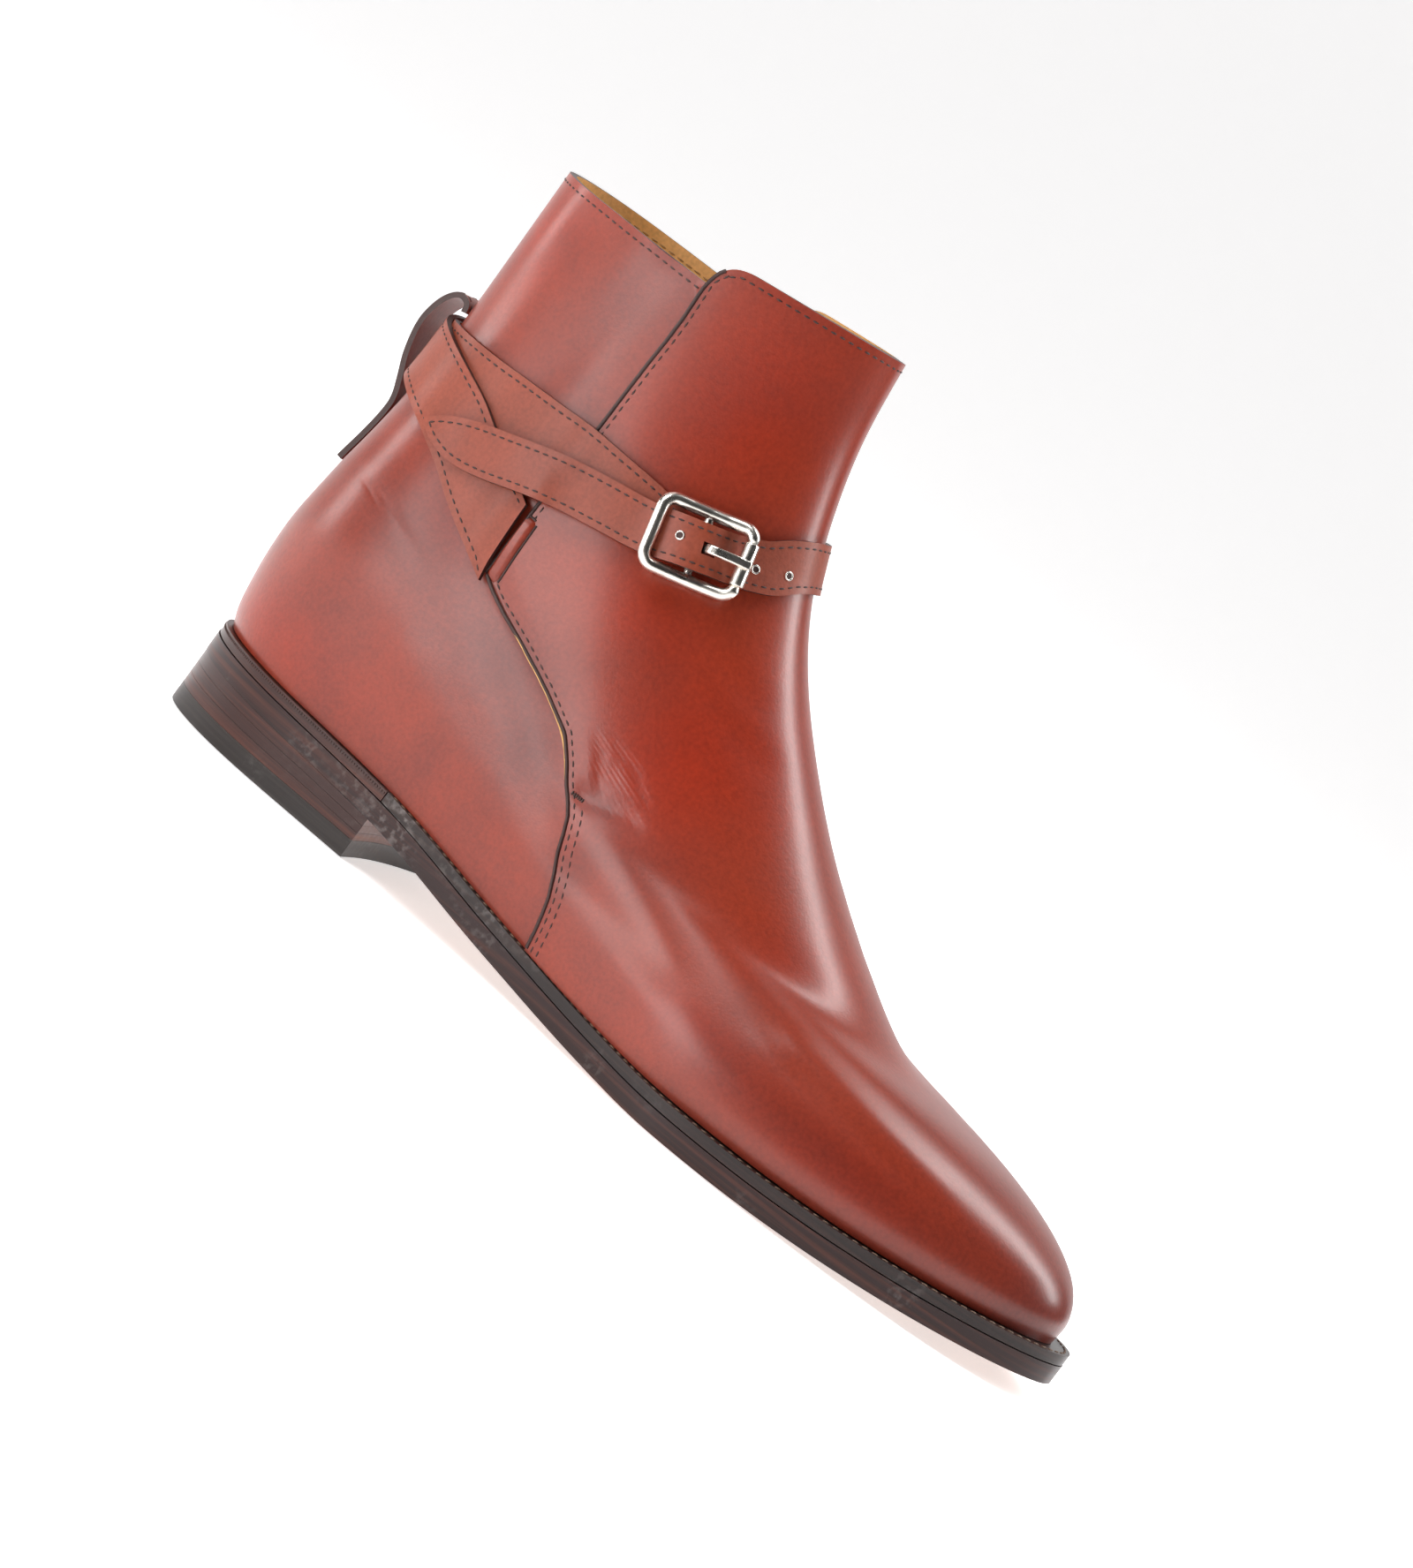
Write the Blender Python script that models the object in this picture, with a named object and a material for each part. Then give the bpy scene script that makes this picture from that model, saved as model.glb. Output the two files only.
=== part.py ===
"""A right ankle boot of the jodhpur kind: a front panel lapped over a rear quarter, two straps that cross
behind the ankle and meet in a roller buckle on the outer side, a pull loop, and a welted leather sole.

Metres, +Z up, toe towards +X, outer side towards -Y. The origin is the middle of the heel's flat tread.
"""
from math import pi, radians, sqrt

import bmesh
import bpy
import numpy as np

# Sizes of the whole boot
SOLE_LENGTH = 0.3015
BALL_WIDTH = 0.104
HEEL_WIDTH = 0.065
COLLAR_FRONT = 0.187
COLLAR_BACK = 0.1743
TOE_SWING = 0.004

# Sizes of the sole and heel
HEEL_LENGTH = 0.078
HEEL_SEAT = 0.016
TOE_SPRING = 0.0062
TOP_PIECE = 0.005
LIFT_COUNT = 3
BREAST_CURVE = 0.003
OUTSOLE = 0.0055
WELT = 0.003
INSOLE_RISE = 0.002
INSOLE_TRIM = 0.0012

# Leather, layers and the gap that touching pieces keep
WALL = 0.0022
PANEL_STEP = 0.0012
STRAP = 0.0016
LOOP_LEATHER = 0.0016
GAP = 0.0003

# Straps, loop and buckle
STRAP_BASE = 0.0195
LOOP_WIDTH = 0.011
LOOP_REACH = 0.0090
BUCKLE_OPENING = 0.0153
BUCKLE_LENGTH = 0.028
BUCKLE_CORNER = 0.0032
FRAME_RADIUS = 0.0015
BAR_RADIUS = 0.0010
ROLLER_WALL = 0.0006
SKIVED = 0.0010
PRONG_WIDTH = 0.0022
PRONG_THICK = 0.0011
HOLE_LENGTH = 0.0032

# The underside from heel to tread: place as a share of the sole's length, height as a share of the heel seat
TREAD_COLUMNS = ("place", "height")
TREAD_ROWS = (
    (0.0000, 1.00),
    (0.2587, 0.76),
    (0.4150, 0.31),
    (0.5300, 0.085),
    (0.6350, 0.00),
    (0.7015, 0.00),
)
SPRING_POWER = 1.8

# Heights above the leather at the buckle: front bar in the roller, back bar, and the prong's crest
ROLLER_RADIUS = BAR_RADIUS + GAP + ROLLER_WALL
ROLLER_HEIGHT = 0.0050
BACK_BAR_HEIGHT = 0.0060
PRONG_CREST = 0.0090

# How finely the skin, the straps and the sole's edges are sampled
SHARP_ANGLE = 38.0
HEEL_STATIONS = 11
SOLE_STATIONS = 42
WELT_STEPS = 22
RAND_STEPS = 9
STRAP_SPACING = 0.0036
ROW_STEPS = 2
GIRTH_STEPS = 120
PANEL_COLUMNS = 12
QUARTER_COLUMNS = 10
SEAM_SLIVER = 0.0006

# The sole's plan: stations along it and half widths there, as shares (the columns of UPPER_ROWS)
SOLE_ROW = dict(back_x=0.0, front_x=1.0, rear_at=0.17, fore_at=0.64, lag=0.07, power=1.85,
                rear=1.0, mid_out=0.70, mid_in=0.48, fore_out=0.99, fore_in=0.935)

# One row for each level of the upper, from the feather line to just above the collar.
# x and seam are shares of the sole's length, rises are shares of the height from the feather line to the
# collar at that end, rear is a share of half the heel's width, mid and fore of half the ball's width,
# and follow is how far the level still bends with the feather line.
UPPER_COLUMNS = ("back_x", "back_rise", "front_x", "front_rise", "seam", "rear", "mid_out", "mid_in",
                 "fore_out", "fore_in", "rear_at", "fore_at", "lag", "power", "follow")
UPPER_ROWS = (
    (0.0040, 0.000, 0.9794, 0.000, 0.449, 0.94, 0.663, 0.442, 0.894, 0.850, 0.17, 0.64, 0.07, 1.85, 1.00),
    (-0.0033, 0.036, 0.9808, 0.036, 0.447, 0.96, 0.683, 0.490, 0.910, 0.865, 0.17, 0.64, 0.07, 1.90, 1.00),
    (-0.0066, 0.083, 0.9662, 0.081, 0.440, 0.985, 0.698, 0.558, 0.890, 0.845, 0.17, 0.64, 0.06, 1.90, 0.80),
    (-0.0093, 0.140, 0.9211, 0.124, 0.422, 1.00, 0.702, 0.615, 0.808, 0.765, 0.17, 0.63, 0.05, 1.90, 0.50),
    (-0.0100, 0.200, 0.8474, 0.154, 0.409, 1.00, 0.692, 0.644, 0.731, 0.700, 0.175, 0.60, 0.04, 1.95, 0.25),
    (-0.0076, 0.254, 0.7539, 0.171, 0.389, 0.994, 0.679, 0.650, 0.692, 0.665, 0.18, 0.58, 0.03, 2.00, 0.10),
    (-0.0040, 0.308, 0.6826, 0.227, 0.360, 0.975, 0.663, 0.644, 0.669, 0.650, 0.19, 0.57, 0.02, 2.00, 0.00),
    (-0.0007, 0.351, 0.6116, 0.304, 0.278, 0.948, 0.648, 0.635, 0.650, 0.635, 0.20, 0.56, 0.01, 1.95, 0.00),
    (0.0033, 0.391, 0.5629, 0.366, 0.212, 0.930, 0.638, 0.629, 0.635, 0.625, 0.21, 0.56, 0.00, 1.90, 0.00),
    (0.0076, 0.445, 0.5098, 0.445, 0.212, 0.908, 0.625, 0.615, 0.615, 0.606, 0.225, 0.56, 0.00, 1.90, 0.00),
    (0.0116, 0.512, 0.4567, 0.538, 0.212, 0.883, 0.610, 0.602, 0.600, 0.592, 0.24, 0.56, 0.00, 1.85, 0.00),
    (0.0146, 0.596, 0.4139, 0.646, 0.213, 0.862, 0.596, 0.590, 0.585, 0.581, 0.26, 0.56, 0.00, 1.80, 0.00),
    (0.0159, 0.723, 0.3844, 0.772, 0.214, 0.862, 0.596, 0.590, 0.583, 0.577, 0.27, 0.55, 0.00, 1.80, 0.00),
    (0.0156, 0.864, 0.3662, 0.889, 0.214, 0.877, 0.608, 0.602, 0.592, 0.587, 0.27, 0.55, 0.00, 1.80, 0.00),
    (0.0149, 1.052, 0.3566, 1.020, 0.214, 0.892, 0.621, 0.615, 0.602, 0.596, 0.27, 0.55, 0.00, 1.80, 0.00),
)
MID_OUT_AT = 0.42
MID_IN_AT = 0.46
BACK_POWER = 2.1
SWING_FROM = 0.75
SWING_POWER = 1.5

# The collar: how deep its shaping reaches down, in rows, and the panel's rounded top corner
COLLAR_DEPTH = 2.0
CORNER_RADIUS = 0.0075
COLLAR_CURVE = 0.85

# Straps: around is the place round the ankle (0 front, -1 back by the outer side, +1 back by the inner
# side, running on past them), height is a share of the collar's front height, width a share of half the
# strap's base width, and layers is the number of straps that lie underneath.
STRAP_COLUMNS = ("around", "height", "width", "layers")
LONG_STRAP_ROWS = (
    (-0.576, 0.481, 1.00, 0.1),
    (-0.605, 0.500, 1.00, 0.1),
    (-0.639, 0.521, 1.00, 0.8),
    (-0.680, 0.547, 1.00, 1.0),
    (-0.747, 0.579, 0.99, 1.0),
    (-0.870, 0.611, 0.96, 1.0),
    (-1.000, 0.624, 0.93, 1.0),
    (-1.130, 0.629, 0.86, 1.0),
    (-1.250, 0.632, 0.79, 1.0),
    (-1.400, 0.638, 0.72, 1.0),
    (-1.550, 0.650, 0.69, 0.0),
    (-1.800, 0.680, 0.69, 0.0),
    (-1.930, 0.699, 0.69, 0.0),
    (-2.000, 0.701, 0.69, 0.0),
    (-2.060, 0.689, 0.69, 0.0),
    (-2.109, 0.668, 0.69, 0.1),
    (-2.152, 0.656, 0.69, 0.4),
    (-2.172, 0.650, 0.69, 0.75),
    (-2.206, 0.642, 0.69, 2.3),
    (-2.239, 0.635, 0.69, 3.1),
    (-2.280, 0.628, 0.69, 2.5),
    (-2.322, 0.619, 0.69, 1.4),
    (-2.360, 0.614, 0.69, 1.05),
    (-2.400, 0.610, 0.69, 1.0),
    (-2.486, 0.598, 0.69, 1.2),
    (-2.560, 0.583, 0.69, 2.0),
    (-2.630, 0.566, 0.69, 2.0),
    (-2.700, 0.551, 0.62, 2.0),
    (-2.745, 0.545, 0.36, 2.0),
    (-2.768, 0.543, 0.06, 2.0),
)
BUCKLE_STRAP_ROWS = (
    (-1.424, 0.481, 1.00, 0.1),
    (-1.361, 0.521, 1.00, 0.0),
    (-1.320, 0.547, 1.00, 0.0),
    (-1.253, 0.577, 1.00, 0.0),
    (-1.130, 0.605, 1.00, 0.0),
    (-1.000, 0.615, 1.00, 0.0),
    (-0.815, 0.620, 1.00, 0.0),
    (-0.724, 0.622, 0.99, 0.0),
    (-0.634, 0.628, 0.95, 0.0),
    (-0.547, 0.634, 0.90, 0.0),
    (-0.466, 0.640, 0.82, 0.0),
    (-0.335, 0.639, 0.70, 0.0),
    (-0.290, 0.637, 0.60, 0.0),
    (-0.239, 0.636, 0.56, 0.0),
)

# The pull loop's line up the back: height as a share of the collar's back height, reach of its own reach
LOOP_COLUMNS = ("height", "reach")
LOOP_ROWS = (
    (0.440, 0.00),
    (0.480, 0.00),
    (0.520, 0.00),
    (0.557, 0.05),
    (0.599, 0.42),
    (0.631, 0.74),
    (0.683, 1.00),
    (0.717, 0.90),
    (0.738, 0.68),
    (0.745, 0.48),
    (0.741, 0.28),
    (0.730, 0.225),
)

# The buckle's place on the outer side of the ankle, in the straps' own coordinates, and the steps to a
# point ahead and one behind that set its direction
BUCKLE_AROUND = -0.239
BUCKLE_HEIGHT = 0.636
STEP_AHEAD = (0.029, 0.0013)
STEP_BEHIND = (-0.031, -0.0007)

# Where the buckle strap leaves the skin for the hinge bar, and where its two sides of leather end there
FOLD_START = 0.0062
FOLD_UNDER = 0.0036
FOLD_OVER = 0.0022

# The prong's line after its hook: steps along, and heights that count down from the crest where negative
PRONG_COLUMNS = ("along", "height")
PRONG_ROWS = (
    (0.0004, -0.0014),
    (0.0011, -0.0004),
    (0.0027, 0.0),
    (0.0055, -0.0002),
)

# Metres round the ankle for one unit of around, at the straps' height
ANKLE_TURN = 0.1427

# Each strap starts under the front panel's edge: its end leans to stand upright, over this length
BASE_SLANT = 0.60
BASE_BLEND = 0.030


def curve_through(places, values, at):
    """A monotone cubic through a table's rows, so nothing swings out between two rows."""
    places = np.asarray(places, float)
    values = np.asarray(values, float)
    at = np.clip(np.asarray(at, float), min(places[0], places[-1]), max(places[0], places[-1]))
    if places[0] > places[-1]:
        places, values = places[::-1], values[::-1]
    spans = np.diff(places)
    rates = np.diff(values) / spans
    slopes = np.concatenate((rates[:1], np.zeros(len(rates) - 1), rates[-1:]))
    for row in range(1, len(rates)):
        if rates[row - 1] * rates[row] > 0:
            slopes[row] = 2 * rates[row - 1] * rates[row] / (rates[row - 1] + rates[row])
    row = np.clip(np.searchsorted(places, at, side="right") - 1, 0, len(spans) - 1)
    t = (at - places[row]) / spans[row]
    start = (1 + 2 * t) * (1 - t) ** 2 * values[row] + t * (1 - t) ** 2 * spans[row] * slopes[row]
    end = t * t * (3 - 2 * t) * values[row + 1] - t * t * (1 - t) * spans[row] * slopes[row + 1]
    return start + end


def soft_step(share):
    """0 to 1 with level ends."""
    share = np.clip(share, 0.0, 1.0)
    return share * share * (3 - 2 * share)


def tread_height(x):
    """Height of the outsole's underside: heel seat, arch, flat tread and toe spring."""
    rows = np.array(TREAD_ROWS)
    share = np.asarray(x, float) / SOLE_LENGTH
    arch = HEEL_SEAT * curve_through(rows[:, 0], rows[:, 1], share)
    flat_end = rows[-1, 0]
    toe = np.clip((share - flat_end) / (1 - flat_end), 0, None) ** SPRING_POWER
    return arch + TOE_SPRING * toe


def outsole_top(x):
    return tread_height(x) + OUTSOLE


def welt_bottom(x):
    return outsole_top(x) + GAP


def welt_top(x):
    return welt_bottom(x) + WELT


def feather_height(x):
    """Height of the line where the upper meets the welt."""
    return welt_top(x) + GAP


def cap(share, power):
    """Half width of a rounded end, from 0 at its tip to 1 where the end begins."""
    share = np.clip(share, 0.0, 1.0)
    return (1 - (1 - share) ** power) ** (1 / power)


def plan(row, steps=GIRTH_STEPS):
    """Plan outline at even steps of girth: back, outer side, front, inner side, back."""
    angle = np.linspace(0, pi, 6 * steps + 1)
    share = (1 - np.cos(angle)) / 2
    x = SOLE_LENGTH * (row["back_x"] + share * (row["front_x"] - row["back_x"]))
    rear = row["rear"] * HEEL_WIDTH / 2
    swing = TOE_SWING * np.clip((x / SOLE_LENGTH - SWING_FROM) / (1 - SWING_FROM), 0, 2) ** SWING_POWER
    sides = []
    for sign, mid_at, fore_at, mid, fore in (
            (-1, MID_OUT_AT, row["fore_at"], row["mid_out"], row["fore_out"]),
            (1, MID_IN_AT, row["fore_at"] + row["lag"], row["mid_in"], row["fore_in"])):
        widths = (rear, mid * BALL_WIDTH / 2, fore * BALL_WIDTH / 2)
        half = curve_through((row["rear_at"], mid_at, fore_at), widths, share)
        half = half * cap(share / row["rear_at"], BACK_POWER) * cap((1 - share) / (1 - fore_at), row["power"])
        y = sign * half + swing
        run = np.concatenate(([0], np.cumsum(np.hypot(np.diff(x), np.diff(y)))))
        even = np.linspace(0, run[-1], steps + 1)
        sides.append((np.interp(even, run, x), np.interp(even, run, y), np.interp(even, run, share)))
    outer, inner = sides
    return [np.concatenate((a, b[-2::-1])) for a, b in zip(outer, inner)]


def upper_row(level):
    """The table's columns at any level, counted in rows."""
    rows = np.array(UPPER_ROWS)
    places = np.arange(len(rows))
    return {name: float(curve_through(places, rows[:, column], level))
            for column, name in enumerate(UPPER_COLUMNS)}


class Skin:
    """The last's surface as a grid of points and normals, by level and by place round the girth."""

    def __init__(self):
        self.levels = np.linspace(0, len(UPPER_ROWS) - 1, (len(UPPER_ROWS) - 1) * ROW_STEPS + 1)
        self.around = np.linspace(-1, 1, 2 * GIRTH_STEPS + 1)
        first = upper_row(0)
        start, end = SOLE_LENGTH * first["back_x"], SOLE_LENGTH * first["front_x"]
        base_back, base_front = float(feather_height(start)), float(feather_height(end))
        grid = []
        self.seams = []
        for level in self.levels:
            row = upper_row(level)
            x, y, share = plan(row)
            back = base_back + row["back_rise"] * (COLLAR_BACK - base_back)
            front = base_front + row["front_rise"] * (COLLAR_FRONT - base_front)
            bend = feather_height(start + share * (end - start)) - (base_back + share * (base_front - base_back))
            z = back + (front - back) * share + row["follow"] * bend
            grid.append(np.stack((x, y, z), axis=1))
            self.seams.append(row["seam"] * SOLE_LENGTH)
        # the plan runs back, outer side, front, inner side, back; around runs -1 to 1 with the front at 0
        self.points = np.array(grid)
        along = np.gradient(self.points, axis=1)
        wrap = self.points[:, 1] - self.points[:, -2]
        along[:, 0] = wrap / 2
        along[:, -1] = wrap / 2
        up = np.gradient(self.points, axis=0)
        normal = np.cross(along, up)
        self.normals = normal / np.linalg.norm(normal, axis=2, keepdims=True)
        self.seams = np.array(self.seams)

    def at(self, around, level):
        """Points and normals at places round the girth (any turn) and levels."""
        around = (np.asarray(around, float) + 1) % 2 - 1
        column = (around + 1) / 2 * (len(self.around) - 1)
        line = np.clip(np.asarray(level, float), 0, self.levels[-1]) * ROW_STEPS
        left = np.clip(column.astype(int), 0, len(self.around) - 2)
        low = np.clip(line.astype(int), 0, len(self.levels) - 2)
        s, t = (column - left)[..., None], (line - low)[..., None]
        results = []
        for field in (self.points, self.normals):
            below = field[low, left] * (1 - s) + field[low, left + 1] * s
            above = field[low + 1, left] * (1 - s) + field[low + 1, left + 1] * s
            results.append(below * (1 - t) + above * t)
        points, normals = results
        return points, normals / np.linalg.norm(normals, axis=-1, keepdims=True)

    def panel(self, around, height):
        """Point and normal on the front panel's outer face."""
        point, normal = self.at(around, self.level_at(around, height))
        return point + normal * PANEL_STEP, normal

    def level_at(self, around, height):
        """The level whose height is wanted at one place round the girth."""
        points, _ = self.at(np.full(len(self.levels), around), self.levels)
        return float(np.interp(height, np.maximum.accumulate(points[:, 2]), self.levels))

    def lift(self, x, level):
        """How far the panel stands proud under a strap: full just behind its edge, so a strap clears it."""
        seam = np.interp(level, self.levels, self.seams)
        return PANEL_STEP * soft_step((x - seam + 0.006) / 0.005)


def to_part(points):
    """From the heel's back edge to the part's own origin, the middle of the heel."""
    return np.asarray(points, float) - (HEEL_LENGTH / 2, 0, 0)


def material(name, colour, roughness, metallic=0.0):
    """One plain material, made once."""
    made = bpy.data.materials.get(name)
    if made is None:
        made = bpy.data.materials.new(name)
        made.use_nodes = True
        shader = made.node_tree.nodes["Principled BSDF"]
        shader.inputs["Base Color"].default_value = (*colour, 1)
        shader.inputs["Roughness"].default_value = roughness
        shader.inputs["Metallic"].default_value = metallic
    return made


def cognac_calf():
    return material("cognac_calf", (0.30, 0.045, 0.018), 0.32)


def strap_calf():
    return material("strap_calf", (0.28, 0.055, 0.025), 0.42)


def dark_sole_leather():
    return material("dark_sole_leather", (0.045, 0.022, 0.018), 0.35)


def insole_leather():
    return material("insole_leather", (0.62, 0.42, 0.20), 0.6)


def rubber_top_piece():
    return material("rubber_top_piece", (0.02, 0.018, 0.018), 0.6)


def bright_nickel():
    return material("bright_nickel", (0.80, 0.77, 0.70), 0.16, 1.0)


def add_piece(name, points, faces, finish):
    """One closed body from its points and faces, with its faces turned outwards."""
    mesh = bpy.data.meshes.new(name)
    mesh.from_pydata([tuple(point) for point in to_part(points)], [], faces)
    shell = bmesh.new()
    shell.from_mesh(mesh)
    bmesh.ops.recalc_face_normals(shell, faces=shell.faces)
    shell.to_mesh(mesh)
    shell.free()
    mesh.shade_smooth()
    mesh.set_sharp_from_angle(angle=radians(SHARP_ANGLE))
    mesh.materials.append(finish)
    piece = bpy.data.objects.new(name, mesh)
    bpy.context.scene.collection.objects.link(piece)
    return piece


def slab(name, x_places, edges, bottom, top, finish, across=1, breast=0.0):
    """A plate between two side edges, given by height functions of x, with an optional hollowed front."""
    outer, inner = edges(x_places)
    shares = np.linspace(0, 1, across + 1)
    points = []
    for surface in (bottom, top):
        for place, (x, low, high) in enumerate(zip(x_places, outer, inner)):
            pull = breast * (place / (len(x_places) - 1)) ** 2
            for share in shares:
                y = low + share * (high - low)
                moved = x - pull * (1 - (2 * share - 1) ** 2)
                points.append((moved, y, float(surface(moved))))
    wide = across + 1
    half = len(x_places) * wide
    faces = []
    for place in range(len(x_places) - 1):
        for column in range(across):
            corner = place * wide + column
            faces.append((corner, corner + 1, corner + wide + 1, corner + wide))
            faces.append(tuple(half + index for index in
                               (corner, corner + wide, corner + wide + 1, corner + 1)))
        for column in (0, across):
            corner = place * wide + column
            faces.append((corner, corner + wide, half + corner + wide, half + corner))
    for place in (0, len(x_places) - 1):
        for column in range(across):
            corner = place * wide + column
            faces.append((corner, corner + 1, half + corner + 1, half + corner))
    return add_piece(name, points, faces, finish)


def side_widths(outline, inset=0.0):
    """A function giving both side edges of a plan outline at places along it."""
    x, y = outline[0], outline[1]
    front = len(x) // 2

    def edges(places):
        outer = np.interp(places, x[:front + 1], y[:front + 1]) + inset
        inner = np.interp(places, x[front:][::-1], y[front:][::-1]) - inset
        return outer, inner
    return edges


def stations(start, end, count, back_round=True, front_round=True):
    """Places along the sole, closer together towards its rounded ends."""
    share = np.linspace(0, 1, count)
    if back_round and front_round:
        share = (1 - np.cos(pi * share)) / 2
    elif back_round:
        share = 1 - np.cos(pi * share / 2)
    return start + share * (end - start)


def add_sole_parts(skin):
    """Top piece, heel lifts, outsole, heel rand, welt and insole, from the floor up."""
    sole = plan(SOLE_ROW)
    edges = side_widths(sole)
    tip = 0.0002
    heel_places = stations(tip, HEEL_LENGTH, HEEL_STATIONS, front_round=False)
    slab("top_piece", heel_places, edges, lambda x: 0.0, lambda x: TOP_PIECE, rubber_top_piece(),
         across=4, breast=BREAST_CURVE)
    for lift in range(LIFT_COUNT):
        slab(f"heel_lift_{lift + 1}", heel_places, edges,
             lambda x, low=lift: lift_side(x, low) + GAP * (low + 1),
             lambda x, high=lift + 1: lift_side(x, high) + GAP * high,
             dark_sole_leather(), across=4, breast=BREAST_CURVE)
    slab("outsole", stations(tip, SOLE_LENGTH - tip, SOLE_STATIONS), edges, tread_height, outsole_top,
         dark_sole_leather())
    feather, normals = skin.at(skin.around, np.zeros(len(skin.around)))
    flat = normals * (1, 1, 0)
    flat /= np.linalg.norm(flat, axis=1, keepdims=True)
    inner_line = feather - flat * WALL
    insole_line = feather - flat * (WALL + 4 * GAP)
    places = stations(insole_line[0, 0] + INSOLE_TRIM, insole_line[GIRTH_STEPS, 0] - INSOLE_TRIM,
                      SOLE_STATIONS)
    slab("insole", places, side_widths((insole_line[:, 0], insole_line[:, 1])), welt_bottom,
         lambda x: feather_height(x) + INSOLE_RISE, insole_leather())
    outer_line = np.stack((sole[0], sole[1]), axis=1)
    add_edge_strip("welt", outer_line, inner_line[:, :2], HEEL_LENGTH + GAP / 2, WELT_STEPS, front=True)
    add_edge_strip("heel_rand", outer_line, inner_line[:, :2], HEEL_LENGTH - GAP / 2, RAND_STEPS, front=False)


def lift_side(x, count):
    """Height of the face above so many heel lifts, without the gaps between them."""
    free = tread_height(x) - TOP_PIECE - (LIFT_COUNT + 1) * GAP
    return TOP_PIECE + free * count / LIFT_COUNT


def edge_run(half, end_x, steps, front):
    """Places along one side of a plan outline, from where it passes end_x to its front or back tip."""
    line = half[np.argsort(half[:, 0])]
    cut = (end_x, float(np.interp(end_x, line[:, 0], line[:, 1])))
    if front:
        line = np.vstack((cut, line[line[:, 0] > end_x]))
    else:
        line = np.vstack((cut, line[line[:, 0] < end_x][::-1]))
    run = np.concatenate(([0], np.cumsum(np.hypot(*np.diff(line, axis=0).T))))
    at = run[-1] * (1 - (1 - np.linspace(0, 1, steps + 1)) ** 1.3)
    return np.stack((np.interp(at, run, line[:, 0]), np.interp(at, run, line[:, 1])), axis=1)


def add_edge_strip(name, outer_line, inner_line, end_x, steps, front):
    """A strip between the sole's edge and the upper's inside, cut square across at one place."""
    halves = (slice(0, GIRTH_STEPS + 1), slice(GIRTH_STEPS, 2 * GIRTH_STEPS + 1))
    sides = [[edge_run(line[half], end_x, steps, front) for line in (outer_line, inner_line)]
             for half in halves]
    pairs = list(zip(*sides[0])) + list(zip(*sides[1]))[-2::-1]
    points = []
    for outer, inner in pairs:
        for (x, y), surface in ((outer, welt_bottom), (outer, welt_top), (inner, welt_top),
                                (inner, welt_bottom)):
            points.append((x, y, float(surface(x))))
    faces = [(0, 1, 2, 3), tuple(len(points) - 4 + index for index in (3, 2, 1, 0))]
    for step in range(len(pairs) - 1):
        for corner in range(4):
            after = (corner + 1) % 4
            faces.append((4 * step + corner, 4 * step + after, 4 * step + 4 + after, 4 * step + 4 + corner))
    add_piece(name, points, faces, dark_sole_leather())


def collar_level(skin, around, panel):
    """Level of the cut collar: level behind the panel's edge, rising round its corner to the front."""
    top = len(UPPER_ROWS) - 1
    level = top - 0.5
    for _ in range(4):
        points, _ = skin.at(around, level)
        seam = float(np.interp(level, skin.levels, skin.seams))
        front, _ = skin.at(0.0, level)
        height = COLLAR_BACK
        if panel:
            share = np.clip((points[0] - seam) / (front[0] - seam), 0, 1)
            back_share = seam / front[0]
            along = back_share + (1 - back_share) * share
            line = COLLAR_BACK + (COLLAR_FRONT - COLLAR_BACK) * along ** COLLAR_CURVE
            from_edge = np.clip((points[0] - seam) / CORNER_RADIUS, 0, 1)
            corner = 1 - sqrt(max(0.0, 1 - (1 - from_edge) ** 2))
            height = line - (line - COLLAR_BACK) * corner
        level = skin.level_at(around, height)
    return level


def upper_columns(skin, level):
    """Places round the girth at one level, as (place, on the panel): front, outer side, back, inner side."""
    points, _ = skin.at(skin.around, np.full(len(skin.around), level))
    seam = float(np.interp(level, skin.levels, skin.seams))
    front = GIRTH_STEPS
    outer = float(np.interp(seam, points[:front + 1, 0], skin.around[:front + 1]))
    inner = float(np.interp(seam, points[front:, 0][::-1], skin.around[front:][::-1]))
    girth = np.abs(np.diff(points[:, :2], axis=0)).sum() / 2
    sliver = SEAM_SLIVER / girth
    steps = np.arange(PANEL_COLUMNS + 1) / PANEL_COLUMNS
    panel_shares = (steps + (1 - np.cos(pi * steps)) / 2) / 2
    quarter_shares = 1 - (1 - np.arange(QUARTER_COLUMNS + 1) / QUARTER_COLUMNS) ** 1.15
    columns = [(outer * share, True) for share in panel_shares]
    start = outer - sliver
    columns += [(start + (-1 - start) * share, False) for share in quarter_shares]
    start = inner + sliver
    columns += [(start + (1 - start) * share, False) for share in quarter_shares[-2::-1]]
    columns += [(inner * share, True) for share in panel_shares[:0:-1]]
    return columns


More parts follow.
